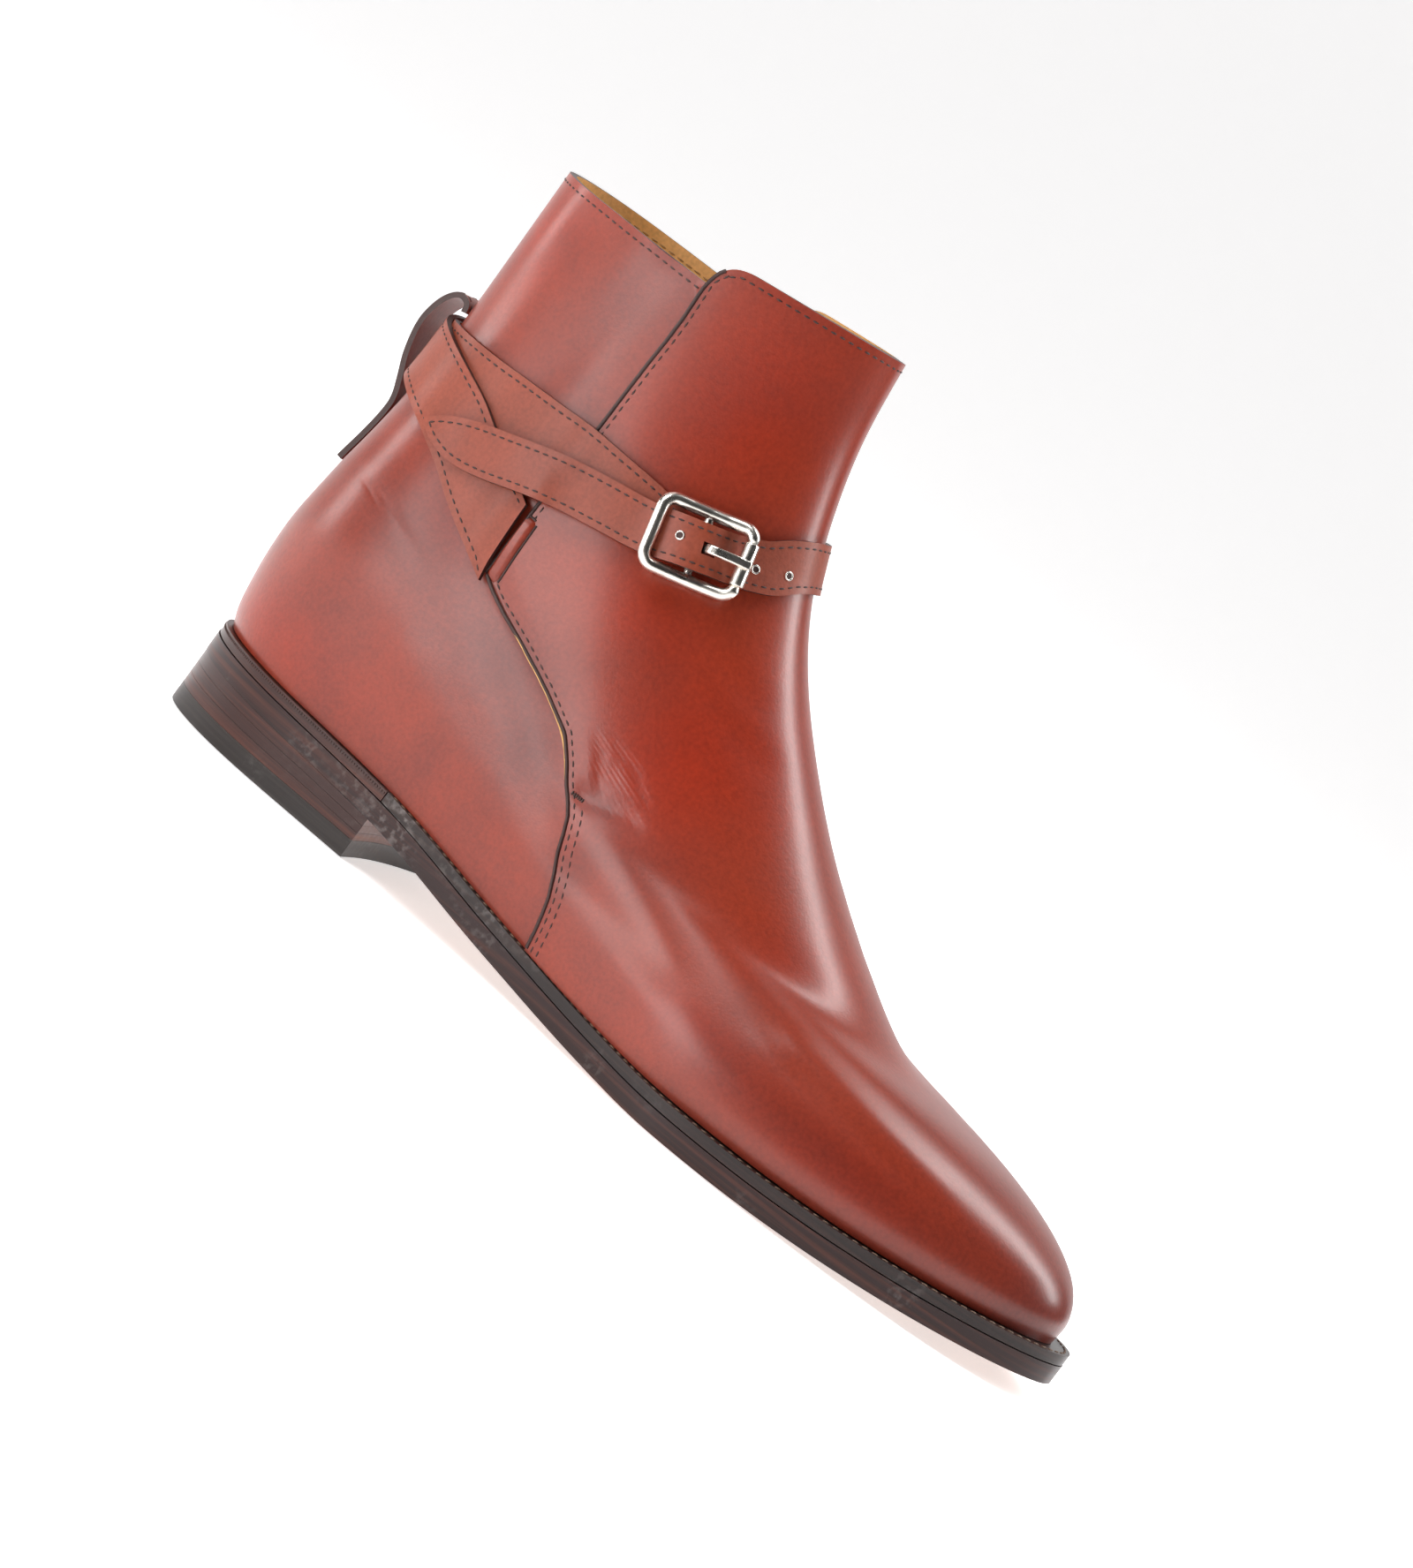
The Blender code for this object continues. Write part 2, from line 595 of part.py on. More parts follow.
def add_upper(skin):
    """One hollow wall from the feather line to the collar, thicker in front of the panel's edge."""
    top = len(UPPER_ROWS) - 1
    rings = np.concatenate((np.arange(0, top, 0.5), [top]))
    outside, inside = [], []
    for ring, level in enumerate(rings):
        columns = upper_columns(skin, min(level, top - 0.3))
        shaping = soft_step((level - (top - COLLAR_DEPTH)) / COLLAR_DEPTH)
        for around, panel in columns:
            own = level
            if shaping > 0:
                own = level - shaping * (top - collar_level(skin, around, panel))
            point, normal = skin.at(around, own)
            if ring in (0, len(rings) - 1):
                normal = normal * (1, 1, 0)
                normal /= np.linalg.norm(normal)
            step = PANEL_STEP if panel else 0.0
            outside.append(point + normal * step)
            inside.append(point - normal * WALL)
    wide = len(columns)
    shell = len(outside)
    faces = []
    for ring in range(len(rings) - 1):
        for column in range(wide):
            after = (column + 1) % wide
            corners = (ring * wide + column, ring * wide + after,
                       (ring + 1) * wide + after, (ring + 1) * wide + column)
            faces.append(corners)
            faces.append(tuple(shell + corner for corner in corners[::-1]))
    for ring in (0, len(rings) - 1):
        for column in range(wide):
            after = (column + 1) % wide
            low, high = ring * wide + column, ring * wide + after
            faces.append((low, high, shell + high, shell + low))
    add_piece("upper", outside + inside, faces, cognac_calf())


def sheet(name, low, high, finish, missing=()):
    """A closed strip from two grids of points, rows along it and columns across, with cells left out."""
    rows, wide = len(low), len(low[0])
    points = [point for line in low for point in line] + [point for line in high for point in line]
    half = rows * wide
    cells = {(row, column) for row in range(rows - 1) for column in range(wide - 1)} - set(missing)
    faces = []
    for row, column in sorted(cells):
        corner = row * wide + column
        ring = (corner, corner + 1, corner + wide + 1, corner + wide)
        faces.append(tuple(half + index for index in ring))
        faces.append(ring[::-1])
        for neighbour, (a, b) in (((row - 1, column), (0, 1)), ((row, column + 1), (1, 2)),
                                  ((row + 1, column), (2, 3)), ((row, column - 1), (3, 0))):
            if neighbour not in cells:
                faces.append((ring[a], ring[b], half + ring[b], half + ring[a]))
    used = sorted({index for face in faces for index in face})
    place = {index: number for number, index in enumerate(used)}
    faces = [tuple(place[index] for index in face) for face in faces]
    return add_piece(name, [points[index] for index in used], faces, finish)


def strap_line(rows, spacing, stops=()):
    """Table rows read at even distances along the strap, and at given stops as well."""
    table = np.array(rows)
    run = np.arange(len(table), dtype=float)
    fine = np.linspace(0, run[-1], 40 * len(run))
    columns = [curve_through(run, table[:, column], fine) for column in range(table.shape[1])]
    steps = np.hypot(np.diff(columns[0]) * ANKLE_TURN, np.diff(columns[1]) * COLLAR_FRONT)
    length = np.concatenate(([0], np.cumsum(steps)))
    even = np.linspace(0, length[-1], int(length[-1] / spacing) + 2)
    if stops:
        places = [float(np.interp(-stop, -columns[0], length)) for stop in stops]
        even = [value for value in even if min(abs(value - place) for place in places) > spacing / 3]
        even = np.sort(np.concatenate((even, places)))
    return [np.interp(even, length, column) for column in columns]


def lay_strap(skin, around, height, half_width, layers, shares):
    """Under and upper side of a strap laid on the skin, at shares of its half width, its base cut upright."""
    low, high = [], []
    base = (around[0], height[0])
    turn = np.gradient(around)
    climb = np.gradient(height)
    for place in range(len(around)):
        level = skin.level_at(around[place], height[place])
        centre, normal = skin.at(around[place], level)
        beside, _ = skin.at(around[place] + 0.01, level)
        above, _ = skin.at(around[place], level + 0.2)
        axes = np.stack(((beside - centre) / 0.01, (above - centre) / (above[2] - centre[2])), axis=1)
        ahead = axes @ (turn[place], climb[place])
        ahead /= np.linalg.norm(ahead)
        up = np.cross(normal, ahead)
        from_base = np.hypot((around[place] - base[0]) * ANKLE_TURN, height[place] - base[1])
        slant = np.sign(turn[place]) * BASE_SLANT * (1 - soft_step(from_base / BASE_BLEND))
        line_low, line_high = [], []
        for share in shares:
            step = share * half_width[place] * (up + slant * ahead)
            turned, climbed = np.linalg.lstsq(axes, step, rcond=None)[0]
            own_around = around[place] + turned
            own_level = skin.level_at(own_around, height[place] + climbed)
            point, normal = skin.at(own_around, own_level)
            proud = float(skin.lift(point[0], own_level)) + GAP + layers[place] * (STRAP + GAP)
            line_low.append(point + normal * proud)
            line_high.append(point + normal * (proud + STRAP))
        low.append(line_low)
        high.append(line_high)
    return low, high


class BuckleSeat:
    """Flat axes at the buckle: along the strap to the front, across it upwards, and out from the leather."""

    def __init__(self, skin):
        height = BUCKLE_HEIGHT * COLLAR_FRONT
        self.origin, self.out = skin.panel(BUCKLE_AROUND, height)
        ahead, _ = skin.panel(BUCKLE_AROUND + STEP_AHEAD[0], height + STEP_AHEAD[1])
        behind, _ = skin.panel(BUCKLE_AROUND + STEP_BEHIND[0], height + STEP_BEHIND[1])
        along = ahead - behind
        along -= self.out * (along @ self.out)
        self.along = along / np.linalg.norm(along)
        self.across = np.cross(self.out, self.along)
        # heights of the layers above the leather, from the bottom up
        self.bar = GAP + STRAP + GAP + BAR_RADIUS
        self.front = ROLLER_HEIGHT
        self.back = BACK_BAR_HEIGHT
        self.reach = BUCKLE_LENGTH / 2 - FRAME_RADIUS

    def place(self, along, across, out):
        return self.origin + self.along * along + self.across * across + self.out * out

    def rail(self, along):
        """Height of the frame's middle line, through its back bar, hinge bar and front bar."""
        share = along / self.reach
        bow = (self.front + self.back) / 2 - self.bar
        lean = (self.front - self.back) / 2
        return self.bar + bow * share * share + lean * share


def tube(name, centres, sides, outs, radii, finish, closed=False, segments=8, flat=1.0):
    """A round bar along a line of centres, each with its own radius; sides and outs span its section."""
    points, faces = [], []
    for centre, side, out, radius in zip(centres, sides, outs, radii):
        for step in range(segments):
            angle = 2 * pi * (step + 0.5) / segments
            points.append(centre + side * radius * np.cos(angle) + out * radius * flat * np.sin(angle))
    count = len(centres)
    for ring in range(count if closed else count - 1):
        for step in range(segments):
            after = (step + 1) % segments
            other = (ring + 1) % count
            faces.append((ring * segments + step, ring * segments + after,
                          other * segments + after, other * segments + step))
    if not closed:
        faces.append(tuple(range(segments))[::-1])
        faces.append(tuple((count - 1) * segments + step for step in range(segments)))
    return add_piece(name, points, faces, finish)


def add_buckle_frame(seat):
    """A rounded oblong of bar, thinner where the roller turns, with its hinge bar joined across."""
    long, wide = seat.reach, BUCKLE_OPENING / 2 + FRAME_RADIUS
    line = []
    corner_steps, side_steps = 5, 4
    for quarter in range(4):
        turn = quarter * pi / 2
        sign_long = 1 if quarter in (0, 3) else -1
        sign_wide = 1 if quarter in (0, 1) else -1
        for step in range(corner_steps + 1):
            angle = turn + step / corner_steps * pi / 2
            line.append((sign_long * (long - BUCKLE_CORNER) + BUCKLE_CORNER * np.cos(angle),
                         sign_wide * (wide - BUCKLE_CORNER) + BUCKLE_CORNER * np.sin(angle)))
        last = np.array(line[-1])
        after = turn + pi / 2
        sign_long = 1 if (quarter + 1) % 4 in (0, 3) else -1
        sign_wide = 1 if (quarter + 1) % 4 in (0, 1) else -1
        following = np.array((sign_long * (long - BUCKLE_CORNER) + BUCKLE_CORNER * np.cos(after),
                              sign_wide * (wide - BUCKLE_CORNER) + BUCKLE_CORNER * np.sin(after)))
        for step in range(1, side_steps):
            line.append(tuple(last + (following - last) * step / side_steps))
    line = np.array(line)
    ahead = np.roll(line, -1, axis=0) - np.roll(line, 1, axis=0)
    ahead /= np.linalg.norm(ahead, axis=1, keepdims=True)
    centres, sides, radii = [], [], []
    for (along, across), (step_along, step_across) in zip(line, ahead):
        centres.append(seat.place(along, across, float(seat.rail(along))))
        sides.append(seat.along * step_across - seat.across * step_along)
        roller_part = long - along < FRAME_RADIUS / 4 and abs(across) < wide - BUCKLE_CORNER + GAP / 3
        radii.append(BAR_RADIUS if roller_part else FRAME_RADIUS)
    frame = tube("buckle_frame", centres, sides, [seat.out] * len(line), radii, bright_nickel(), closed=True)
    ends = [seat.place(0, sign * wide, seat.bar) for sign in (-1, 1)]
    bar = tube("hinge_bar_joined", ends, [seat.along] * 2, [seat.out] * 2, [BAR_RADIUS] * 2, bright_nickel())
    bar.hide_render = True
    bar.display_type = "WIRE"
    join = frame.modifiers.new("hinge bar", "BOOLEAN")
    join.operation = "UNION"
    join.object = bar


def add_buckle_roller(seat):
    """A sleeve that turns on the frame's front bar."""
    outer = ROLLER_RADIUS
    inner = outer - ROLLER_WALL
    half = BUCKLE_OPENING / 2 - BUCKLE_CORNER / 2 - GAP
    sides = 12
    points, faces = [], []
    for radius, end in ((outer, -half), (outer, half), (inner, half), (inner, -half)):
        for step in range(sides):
            angle = 2 * pi * step / sides
            points.append(seat.place(seat.reach + radius * np.cos(angle), end,
                                     seat.front + radius * np.sin(angle)))
    for ring in range(4):
        for step in range(sides):
            after = (step + 1) % sides
            other = (ring + 1) % 4
            faces.append((ring * sides + step, ring * sides + after, other * sides + after, other * sides + step))
    add_piece("buckle_roller", points, faces, bright_nickel())


def add_buckle_prong(seat):
    """A flat tongue hooked round the hinge bar, up through the strap's hole and forward onto the roller."""
    hook = BAR_RADIUS + GAP + PRONG_THICK / 2
    path = []
    for step in range(11):
        angle = radians(110 + 24 * step)
        path.append((hook * np.cos(angle), seat.bar + hook * np.sin(angle)))
    rest = seat.front + ROLLER_RADIUS + GAP + PRONG_THICK / 2
    path += [(hook + GAP, seat.bar + BAR_RADIUS), (hook + GAP, seat.bar + 3 * BAR_RADIUS)]
    path += [(hook + along, PRONG_CREST + height) for along, height in PRONG_ROWS]
    path += [(seat.reach - ROLLER_RADIUS, PRONG_CREST - ROLLER_WALL), (seat.reach, rest),
             (seat.reach + FRAME_RADIUS, rest - GAP)]
    path = np.array(path)
    ahead = np.gradient(path, axis=0)
    ahead /= np.linalg.norm(ahead, axis=1, keepdims=True)
    points, faces = [], []
    for (along, out), (step_along, step_out) in zip(path, ahead):
        for across, thick in ((-1, -1), (1, -1), (1, 1), (-1, 1)):
            shift = thick * PRONG_THICK / 2
            points.append(seat.place(along - step_out * shift, across * PRONG_WIDTH / 2,
                                     out + step_along * shift))
    for ring in range(len(path) - 1):
        for corner in range(4):
            after = (corner + 1) % 4
            faces.append((4 * ring + corner, 4 * ring + after, 4 * ring + 4 + after, 4 * ring + 4 + corner))
    faces += [(3, 2, 1, 0), tuple(4 * len(path) - 4 + corner for corner in range(4))]
    add_piece("buckle_prong", points, faces, bright_nickel())


def add_long_strap(skin):
    """From the outer quarter round the back, the inner side and the front, through the buckle to its tip."""
    half = STRAP_BASE / 2
    slot = PRONG_WIDTH / 2 + 2 * GAP
    hole_start = -2 + BUCKLE_AROUND + (BAR_RADIUS - GAP) / ANKLE_TURN
    hole_end = hole_start + HOLE_LENGTH / ANKLE_TURN
    around, height, width, layers = strap_line(LONG_STRAP_ROWS, STRAP_SPACING, (hole_end, hole_start))
    narrow = half * width[int(np.argmin(np.abs(around - hole_end)))]
    shares = (-1.0, -0.6, -slot / narrow, slot / narrow, 0.6, 1.0)
    low, high = lay_strap(skin, around, height * COLLAR_FRONT, width * half, layers, shares)
    row = int(np.argmin(np.abs(around - hole_end)))
    sheet("long_strap", low, high, strap_calf(), missing=((row, 2),))


def add_buckle_strap(skin, seat):
    """From the inner quarter round the back to the buckle, its forked end wrapped over the hinge bar."""
    half = STRAP_BASE / 2
    around, height, width, layers = strap_line(BUCKLE_STRAP_ROWS, STRAP_SPACING)
    end_half = half * width[-1]
    slot = PRONG_WIDTH / 2 + 2 * GAP
    shares = (-1.0, -0.65, -slot / end_half, slot / end_half, 0.65, 1.0)
    low, high = lay_strap(skin, around, height * COLLAR_FRONT, width * half, layers, shares)
    clear = [row for row in range(len(low)) if (low[row][2] - seat.origin) @ seat.along < -FOLD_START]
    low, high = [low[row] for row in clear], [high[row] for row in clear]
    fork_start = len(low)
    inner = BAR_RADIUS + GAP
    path = [(-FOLD_UNDER, seat.bar - inner, STRAP), (-FOLD_UNDER / 2, seat.bar - inner, SKIVED)]
    path = [(along, out, 0.0, -1.0, thick) for along, out, thick in path]
    for step in range(7):
        angle = radians(-90 + 30 * step)
        path.append((inner * np.cos(angle), seat.bar + inner * np.sin(angle), np.cos(angle), np.sin(angle),
                     SKIVED))
    path.append((-FOLD_OVER, seat.bar + inner - GAP / 2, 0.0, 1.0, SKIVED))
    for along, out, step_along, step_out, thick in path:
        line_low, line_high = [], []
        for share in shares:
            across = share * end_half
            line_high.append(seat.place(along, across, out))
            line_low.append(seat.place(along + step_along * thick, across, out + step_out * thick))
        low.append(line_low)
        high.append(line_high)
    missing = [(row, 2) for row in range(fork_start - 1, len(low) - 1)]
    sheet("buckle_strap", low, high, strap_calf(), missing)


def add_pull_loop(skin):
    """A strip stitched down at the heel, standing off over the straps and turned back in above them."""
    table = np.array(LOOP_ROWS)
    run = np.arange(len(table), dtype=float)
    at = np.linspace(0, run[-1], 30)
    height = curve_through(run, table[:, 0], at) * COLLAR_BACK
    reach = curve_through(run, table[:, 1], at) * LOOP_REACH
    inner = []
    for z, out in zip(height, reach):
        back, _ = skin.at(-1.0, skin.level_at(-1.0, z))
        inner.append((back[0] - GAP - out, z))
    inner = np.array(inner)
    ahead = np.gradient(inner, axis=0)
    ahead /= np.linalg.norm(ahead, axis=1, keepdims=True)
    outer = inner + np.stack((-ahead[:, 1], ahead[:, 0]), axis=1) * LOOP_LEATHER
    low, high = [], []
    for line, rows in ((inner, low), (outer, high)):
        for x, z in line:
            rows.append([np.array((x, share * LOOP_WIDTH / 2, z)) for share in (-1.0, 0.0, 1.0)])
    sheet("pull_loop", low, high, strap_calf())


def main():
    for piece in list(bpy.data.objects):
        bpy.data.objects.remove(piece, do_unlink=True)
    skin = Skin()
    seat = BuckleSeat(skin)
    add_sole_parts(skin)
    add_upper(skin)
    add_long_strap(skin)
    add_buckle_strap(skin, seat)
    add_pull_loop(skin)
    add_buckle_frame(seat)
    add_buckle_roller(seat)
    add_buckle_prong(seat)


if __name__ == "__main__":
    main()
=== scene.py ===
from math import cos, pi, radians, sin

import bmesh
import bpy
import numpy as np
from mathutils import Matrix, Vector
from mathutils.bvhtree import BVHTree


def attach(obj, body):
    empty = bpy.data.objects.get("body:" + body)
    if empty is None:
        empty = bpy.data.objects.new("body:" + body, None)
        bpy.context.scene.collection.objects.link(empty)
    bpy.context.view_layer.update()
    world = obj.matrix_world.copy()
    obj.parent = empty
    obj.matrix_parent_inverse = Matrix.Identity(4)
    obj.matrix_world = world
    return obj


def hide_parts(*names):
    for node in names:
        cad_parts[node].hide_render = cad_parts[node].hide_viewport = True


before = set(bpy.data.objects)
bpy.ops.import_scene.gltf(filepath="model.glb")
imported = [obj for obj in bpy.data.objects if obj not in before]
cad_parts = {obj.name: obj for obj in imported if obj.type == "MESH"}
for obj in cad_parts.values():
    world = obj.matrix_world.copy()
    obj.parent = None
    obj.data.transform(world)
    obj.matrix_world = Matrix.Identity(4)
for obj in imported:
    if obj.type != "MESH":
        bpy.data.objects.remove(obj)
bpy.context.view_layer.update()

bpy.ops.object.select_all(action="DESELECT")

# The camera looks at the outer side from a little ahead and above, through a long lens.
# It is rolled, because the boot stands flat here and was tipped onto its toe in the photograph.
AZIMUTH, ELEVATION, ROLL = radians(19.33), radians(7.13), radians(36.67)
CAMERA_DISTANCE = 1.6466
AIM = Vector((0.1135, 0.0, 0.070))
FOCAL_PIXELS = 7251.4
IMAGE = (1600, 1776)
AIM_PIXEL = (857.1, 936.2)
SENSOR = 36
backward = Vector((sin(AZIMUTH) * cos(ELEVATION), -cos(AZIMUTH) * cos(ELEVATION), sin(ELEVATION)))
level_right = (-backward).cross(Vector((0, 0, 1))).normalized()
level_up = level_right.cross(-backward)
right = cos(ROLL) * level_right + sin(ROLL) * level_up
upward = cos(ROLL) * level_up - sin(ROLL) * level_right
looking = (-backward + right * (IMAGE[0] / 2 - AIM_PIXEL[0]) / FOCAL_PIXELS
           - upward * (IMAGE[1] / 2 - AIM_PIXEL[1]) / FOCAL_PIXELS).normalized()
camera_up = (upward - looking * upward.dot(looking)).normalized()
camera_right = looking.cross(camera_up)
bpy.ops.object.camera_add()
camera = bpy.context.object
camera.data.sensor_width = SENSOR
camera.data.lens = FOCAL_PIXELS / max(IMAGE) * SENSOR
camera.matrix_world = Matrix.Translation(AIM + backward * CAMERA_DISTANCE) @ Matrix(
    (camera_right, camera_up, -looking)).transposed().to_4x4()
bpy.context.scene.camera = camera
bpy.context.scene.view_settings.view_transform = "Standard"

# A white studio floor that curves up behind the boot, so no horizon shows in the rolled frame.
# It is painted, slightly matt board.
FLOOR_SIZE = 7.0
FLOOR_COLOUR = (0.90, 0.875, 0.875)
FLOOR_GLOW = 0.62
FLOOR_DROP = 0.0002
BACK_HEIGHT = 4
SWEEP_RADIUS, SWEEP_STEPS = 1.4, 24
bpy.ops.mesh.primitive_plane_add(size=FLOOR_SIZE, rotation=(0, 0, AZIMUTH), location=(0, 0, -FLOOR_DROP))
floor = bpy.context.object
floor.name = "studio_floor"
bpy.ops.object.transform_apply(location=True, rotation=True, scale=True)
board = bmesh.new()
board.from_mesh(floor.data)
far = max(board.edges, key=lambda edge: sum(vertex.co.dot(-backward) for vertex in edge.verts))
raised = bmesh.ops.extrude_edge_only(board, edges=[far])["geom"]
bmesh.ops.translate(board, vec=(0, 0, BACK_HEIGHT),
                    verts=[part for part in raised if isinstance(part, bmesh.types.BMVert)])
bmesh.ops.bevel(board, geom=[far], offset=SWEEP_RADIUS, segments=SWEEP_STEPS, affect="EDGES", profile=0.5)
bmesh.ops.recalc_face_normals(board, faces=board.faces)
board.to_mesh(floor.data)
board.free()
floor.data.shade_smooth()
floor_paint = bpy.data.materials.new("white_board")
floor_paint.use_nodes = True
floor_shader = floor_paint.node_tree.nodes["Principled BSDF"]
floor_shader.inputs["Base Color"].default_value = (*FLOOR_COLOUR, 1)
floor_shader.inputs["Roughness"].default_value = 0.75
floor_shader.inputs["Emission Color"].default_value = (1, 1, 1, 1)
floor_shader.inputs["Emission Strength"].default_value = FLOOR_GLOW
floor.data.materials.append(floor_paint)

# Plain soft light: a white room that is dark only behind the camera, one broad soft box over the boot,
# a weak one in front and two long ones beside it. They draw the pale reflections down the heel, the
# shaft's front and the vamp.
ROOM_BRIGHT, ROOM_DARK = 1.05, 0.07
DARK_FROM, DARK_FULL = 0.0, 0.85
world = bpy.data.worlds.new("white_room")
world.use_nodes = True
room = world.node_tree
direction = room.nodes.new("ShaderNodeTexCoord")
toward = room.nodes.new("ShaderNodeVectorMath")
toward.operation = "DOT_PRODUCT"
toward.inputs[1].default_value = backward
room.links.new(direction.outputs["Generated"], toward.inputs[0])
falloff = room.nodes.new("ShaderNodeMapRange")
falloff.interpolation_type = "SMOOTHSTEP"
for title, value in (("From Min", DARK_FROM), ("From Max", DARK_FULL), ("To Min", ROOM_BRIGHT),
                     ("To Max", ROOM_DARK)):
    falloff.inputs[title].default_value = value
room.links.new(toward.outputs["Value"], falloff.inputs["Value"])
room.links.new(falloff.outputs[0], room.nodes["Background"].inputs["Strength"])
bpy.context.scene.world = world
# place to the right of, above and before the aim as the camera sees it, then width, height and watts
SOFT_BOXES = (
    ("over_box", -0.2, 1.5, 0.65, 1.2, 0.8, 18.0),
    ("left_box", -1.3, 0.2, -0.2, 0.35, 1.6, 20.0),
    ("right_box", 1.25, 0.35, -0.1, 0.30, 1.6, 18.0),
    ("front_box", -0.85, 0.70, 1.05, 0.6, 0.5, 6.0),
)
for name, across, above, before, wide, tall, power in SOFT_BOXES:
    place = AIM + right * across + upward * above + backward * before
    bpy.ops.object.light_add(type="AREA", location=place)
    box = bpy.context.object
    box.name = name
    box.data.shape = "RECTANGLE"
    box.data.size = wide
    box.data.size_y = tall
    box.data.energy = power
    facing = (AIM - place).normalized()
    side = facing.cross(upward if abs(facing.dot(upward)) < 0.9 else backward).normalized()
    box.matrix_world = Matrix.Translation(place) @ Matrix(
        (side, side.cross(facing), -facing)).transposed().to_4x4()


# Upper: one hollow wall of cognac calf, the front panel lapped over the rear quarter, lined in tan.
# The panel's edge is folded and stitched; soft ridges and troughs come from lasting and wear.
SHARP = radians(38)
CALF = (0.285, 0.035, 0.014)
CALF_RED = (0.330, 0.026, 0.008)
CALF_PLUM_AND_SHADE = (0.135, 0.021, 0.014)
# the dark edge ink also serves as painted shade inside the eyelets
CALF_EDGE_AND_SHADE = (0.050, 0.018, 0.014)
LINING = (0.72, 0.40, 0.14)
# where the dye is redder, where it is more plum, and where painted shade darkens it beside the panel's seam
# and low on the vamp by the welt: x, z, reach along x and z, amounts of red and of plum dye with painted
# shade
TONES_AND_SHADE = (
    (0.098, 0.076, 0.024, 0.026, 1.0, 0.0),
    (0.054, 0.158, 0.020, 0.030, 0.9, 0.0),
    (0.066, 0.098, 0.016, 0.012, 0.6, 0.0),
    (0.014, 0.090, 0.010, 0.010, 0.8, 0.0),
    (-0.022, 0.158, 0.012, 0.016, 0.6, 0.0),
    (0.200, 0.022, 0.030, 0.008, 0.7, 0.0),
    (0.150, 0.026, 0.020, 0.008, 0.7, 0.0),
    (-0.020, 0.034, 0.030, 0.010, 0.5, 0.0),
    (0.150, 0.050, 0.020, 0.010, 0.4, 0.0),
    (0.010, 0.155, 0.014, 0.030, 0.0, 0.5),
    (0.042, 0.066, 0.022, 0.012, 0.0, 0.7),
    (0.064, 0.052, 0.012, 0.012, 0.0, 0.7),
    (-0.002, 0.076, 0.024, 0.016, 0.0, 0.6),
    (0.245, 0.024, 0.016, 0.012, 0.0, 0.3),
    (0.105, 0.045, 0.012, 0.006, 0.0, 0.3),
    (0.089, 0.054, 0.006, 0.004, 0.0, 0.6),
    (0.095, 0.034, 0.005, 0.012, 0.0, 0.5),
    (0.190, 0.023, 0.045, 0.006, 0.0, 0.5),
    (0.255, 0.020, 0.010, 0.012, 0.0, 0.5),
    (0.230, 0.040, 0.030, 0.008, 0.0, 0.35),
)
# soft troughs (positive depth) and ridges: x and z of both ends, half width, depth,
# and the side of the boot that has it (0 is both, -1 the outer one)
CREASES = (
    (0.0258, 0.0800, 0.0589, 0.0600, 0.0070, 0.0007, 0),
    (0.0589, 0.0600, 0.0850, 0.0370, 0.0060, 0.0007, 0),
    (0.0200, 0.0510, 0.0800, 0.0320, 0.0075, -0.0006, 0),
    (0.1685, 0.0389, 0.2130, 0.0325, 0.0030, -0.0006, 0),
    (0.2130, 0.0325, 0.2467, 0.0262, 0.0028, -0.0006, 0),
    (0.1750, 0.0340, 0.2200, 0.0275, 0.0026, 0.0005, 0),
    (0.1640, 0.0330, 0.2118, 0.0255, 0.0030, -0.0003, 0),
    (0.0921, 0.0366, 0.1314, 0.0290, 0.0065, 0.0007, -1),
    (0.0860, 0.0560, 0.0800, 0.0650, 0.0012, 0.0005, -1),
    (0.0870, 0.0560, 0.0850, 0.0670, 0.0012, 0.0004, -1),
    (0.0875, 0.0550, 0.0905, 0.0660, 0.0012, 0.0005, -1),
    (0.0880, 0.0540, 0.0960, 0.0620, 0.0013, 0.0005, -1),
    (0.0880, 0.0530, 0.0990, 0.0560, 0.0014, 0.0005, -1),
    (0.0840, 0.0530, 0.0880, 0.0540, 0.0028, 0.0005, -1),
    (0.0700, 0.1050, 0.0980, 0.0960, 0.0040, 0.0004, 0),
    (0.0800, 0.0940, 0.1100, 0.0850, 0.0040, 0.0004, 0),
    (-0.0200, 0.1300, -0.0150, 0.1650, 0.0060, 0.0005, 0),
    (0.0060, 0.1300, 0.0120, 0.1700, 0.0060, 0.0005, 0),
)


MERGE_REACH = 1e-5
FLAT_ENOUGH = radians(30)
CORNER = radians(50)


def merged_copy(node, name):
    """A copy of a CAD node whose loose triangles are merged into whole faces."""
    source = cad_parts[node].data
    shell = bmesh.new()
    corners = [shell.verts.new(vertex.co) for vertex in source.vertices]
    for face in source.polygons:
        shell.faces.new([corners[index] for index in face.vertices])
    bmesh.ops.remove_doubles(shell, verts=shell.verts, dist=MERGE_REACH)
    bmesh.ops.join_triangles(shell, faces=shell.faces, angle_face_threshold=FLAT_ENOUGH,
                             angle_shape_threshold=pi)
    mesh = bpy.data.meshes.new(name)
    piece = bpy.data.objects.new(name, mesh)
    bpy.context.scene.collection.objects.link(piece)
    return piece, shell


def face_regions(shell):
    """Faces that meet without a sharp edge between them, in groups, the largest first."""
    left = dict.fromkeys(shell.faces)
    regions = []
    while left:
        start = next(iter(left))
        del left[start]
        region, queue = [start], [start]
        while queue:
            for edge in queue.pop().edges:
                if len(edge.link_faces) == 2 and edge.calc_face_angle() < SHARP:
                    for other in edge.link_faces:
                        if other in left:
                            del left[other]
                            region.append(other)
                            queue.append(other)
        regions.append(region)
    return sorted(regions, key=lambda region: -sum(face.calc_area() for face in region))


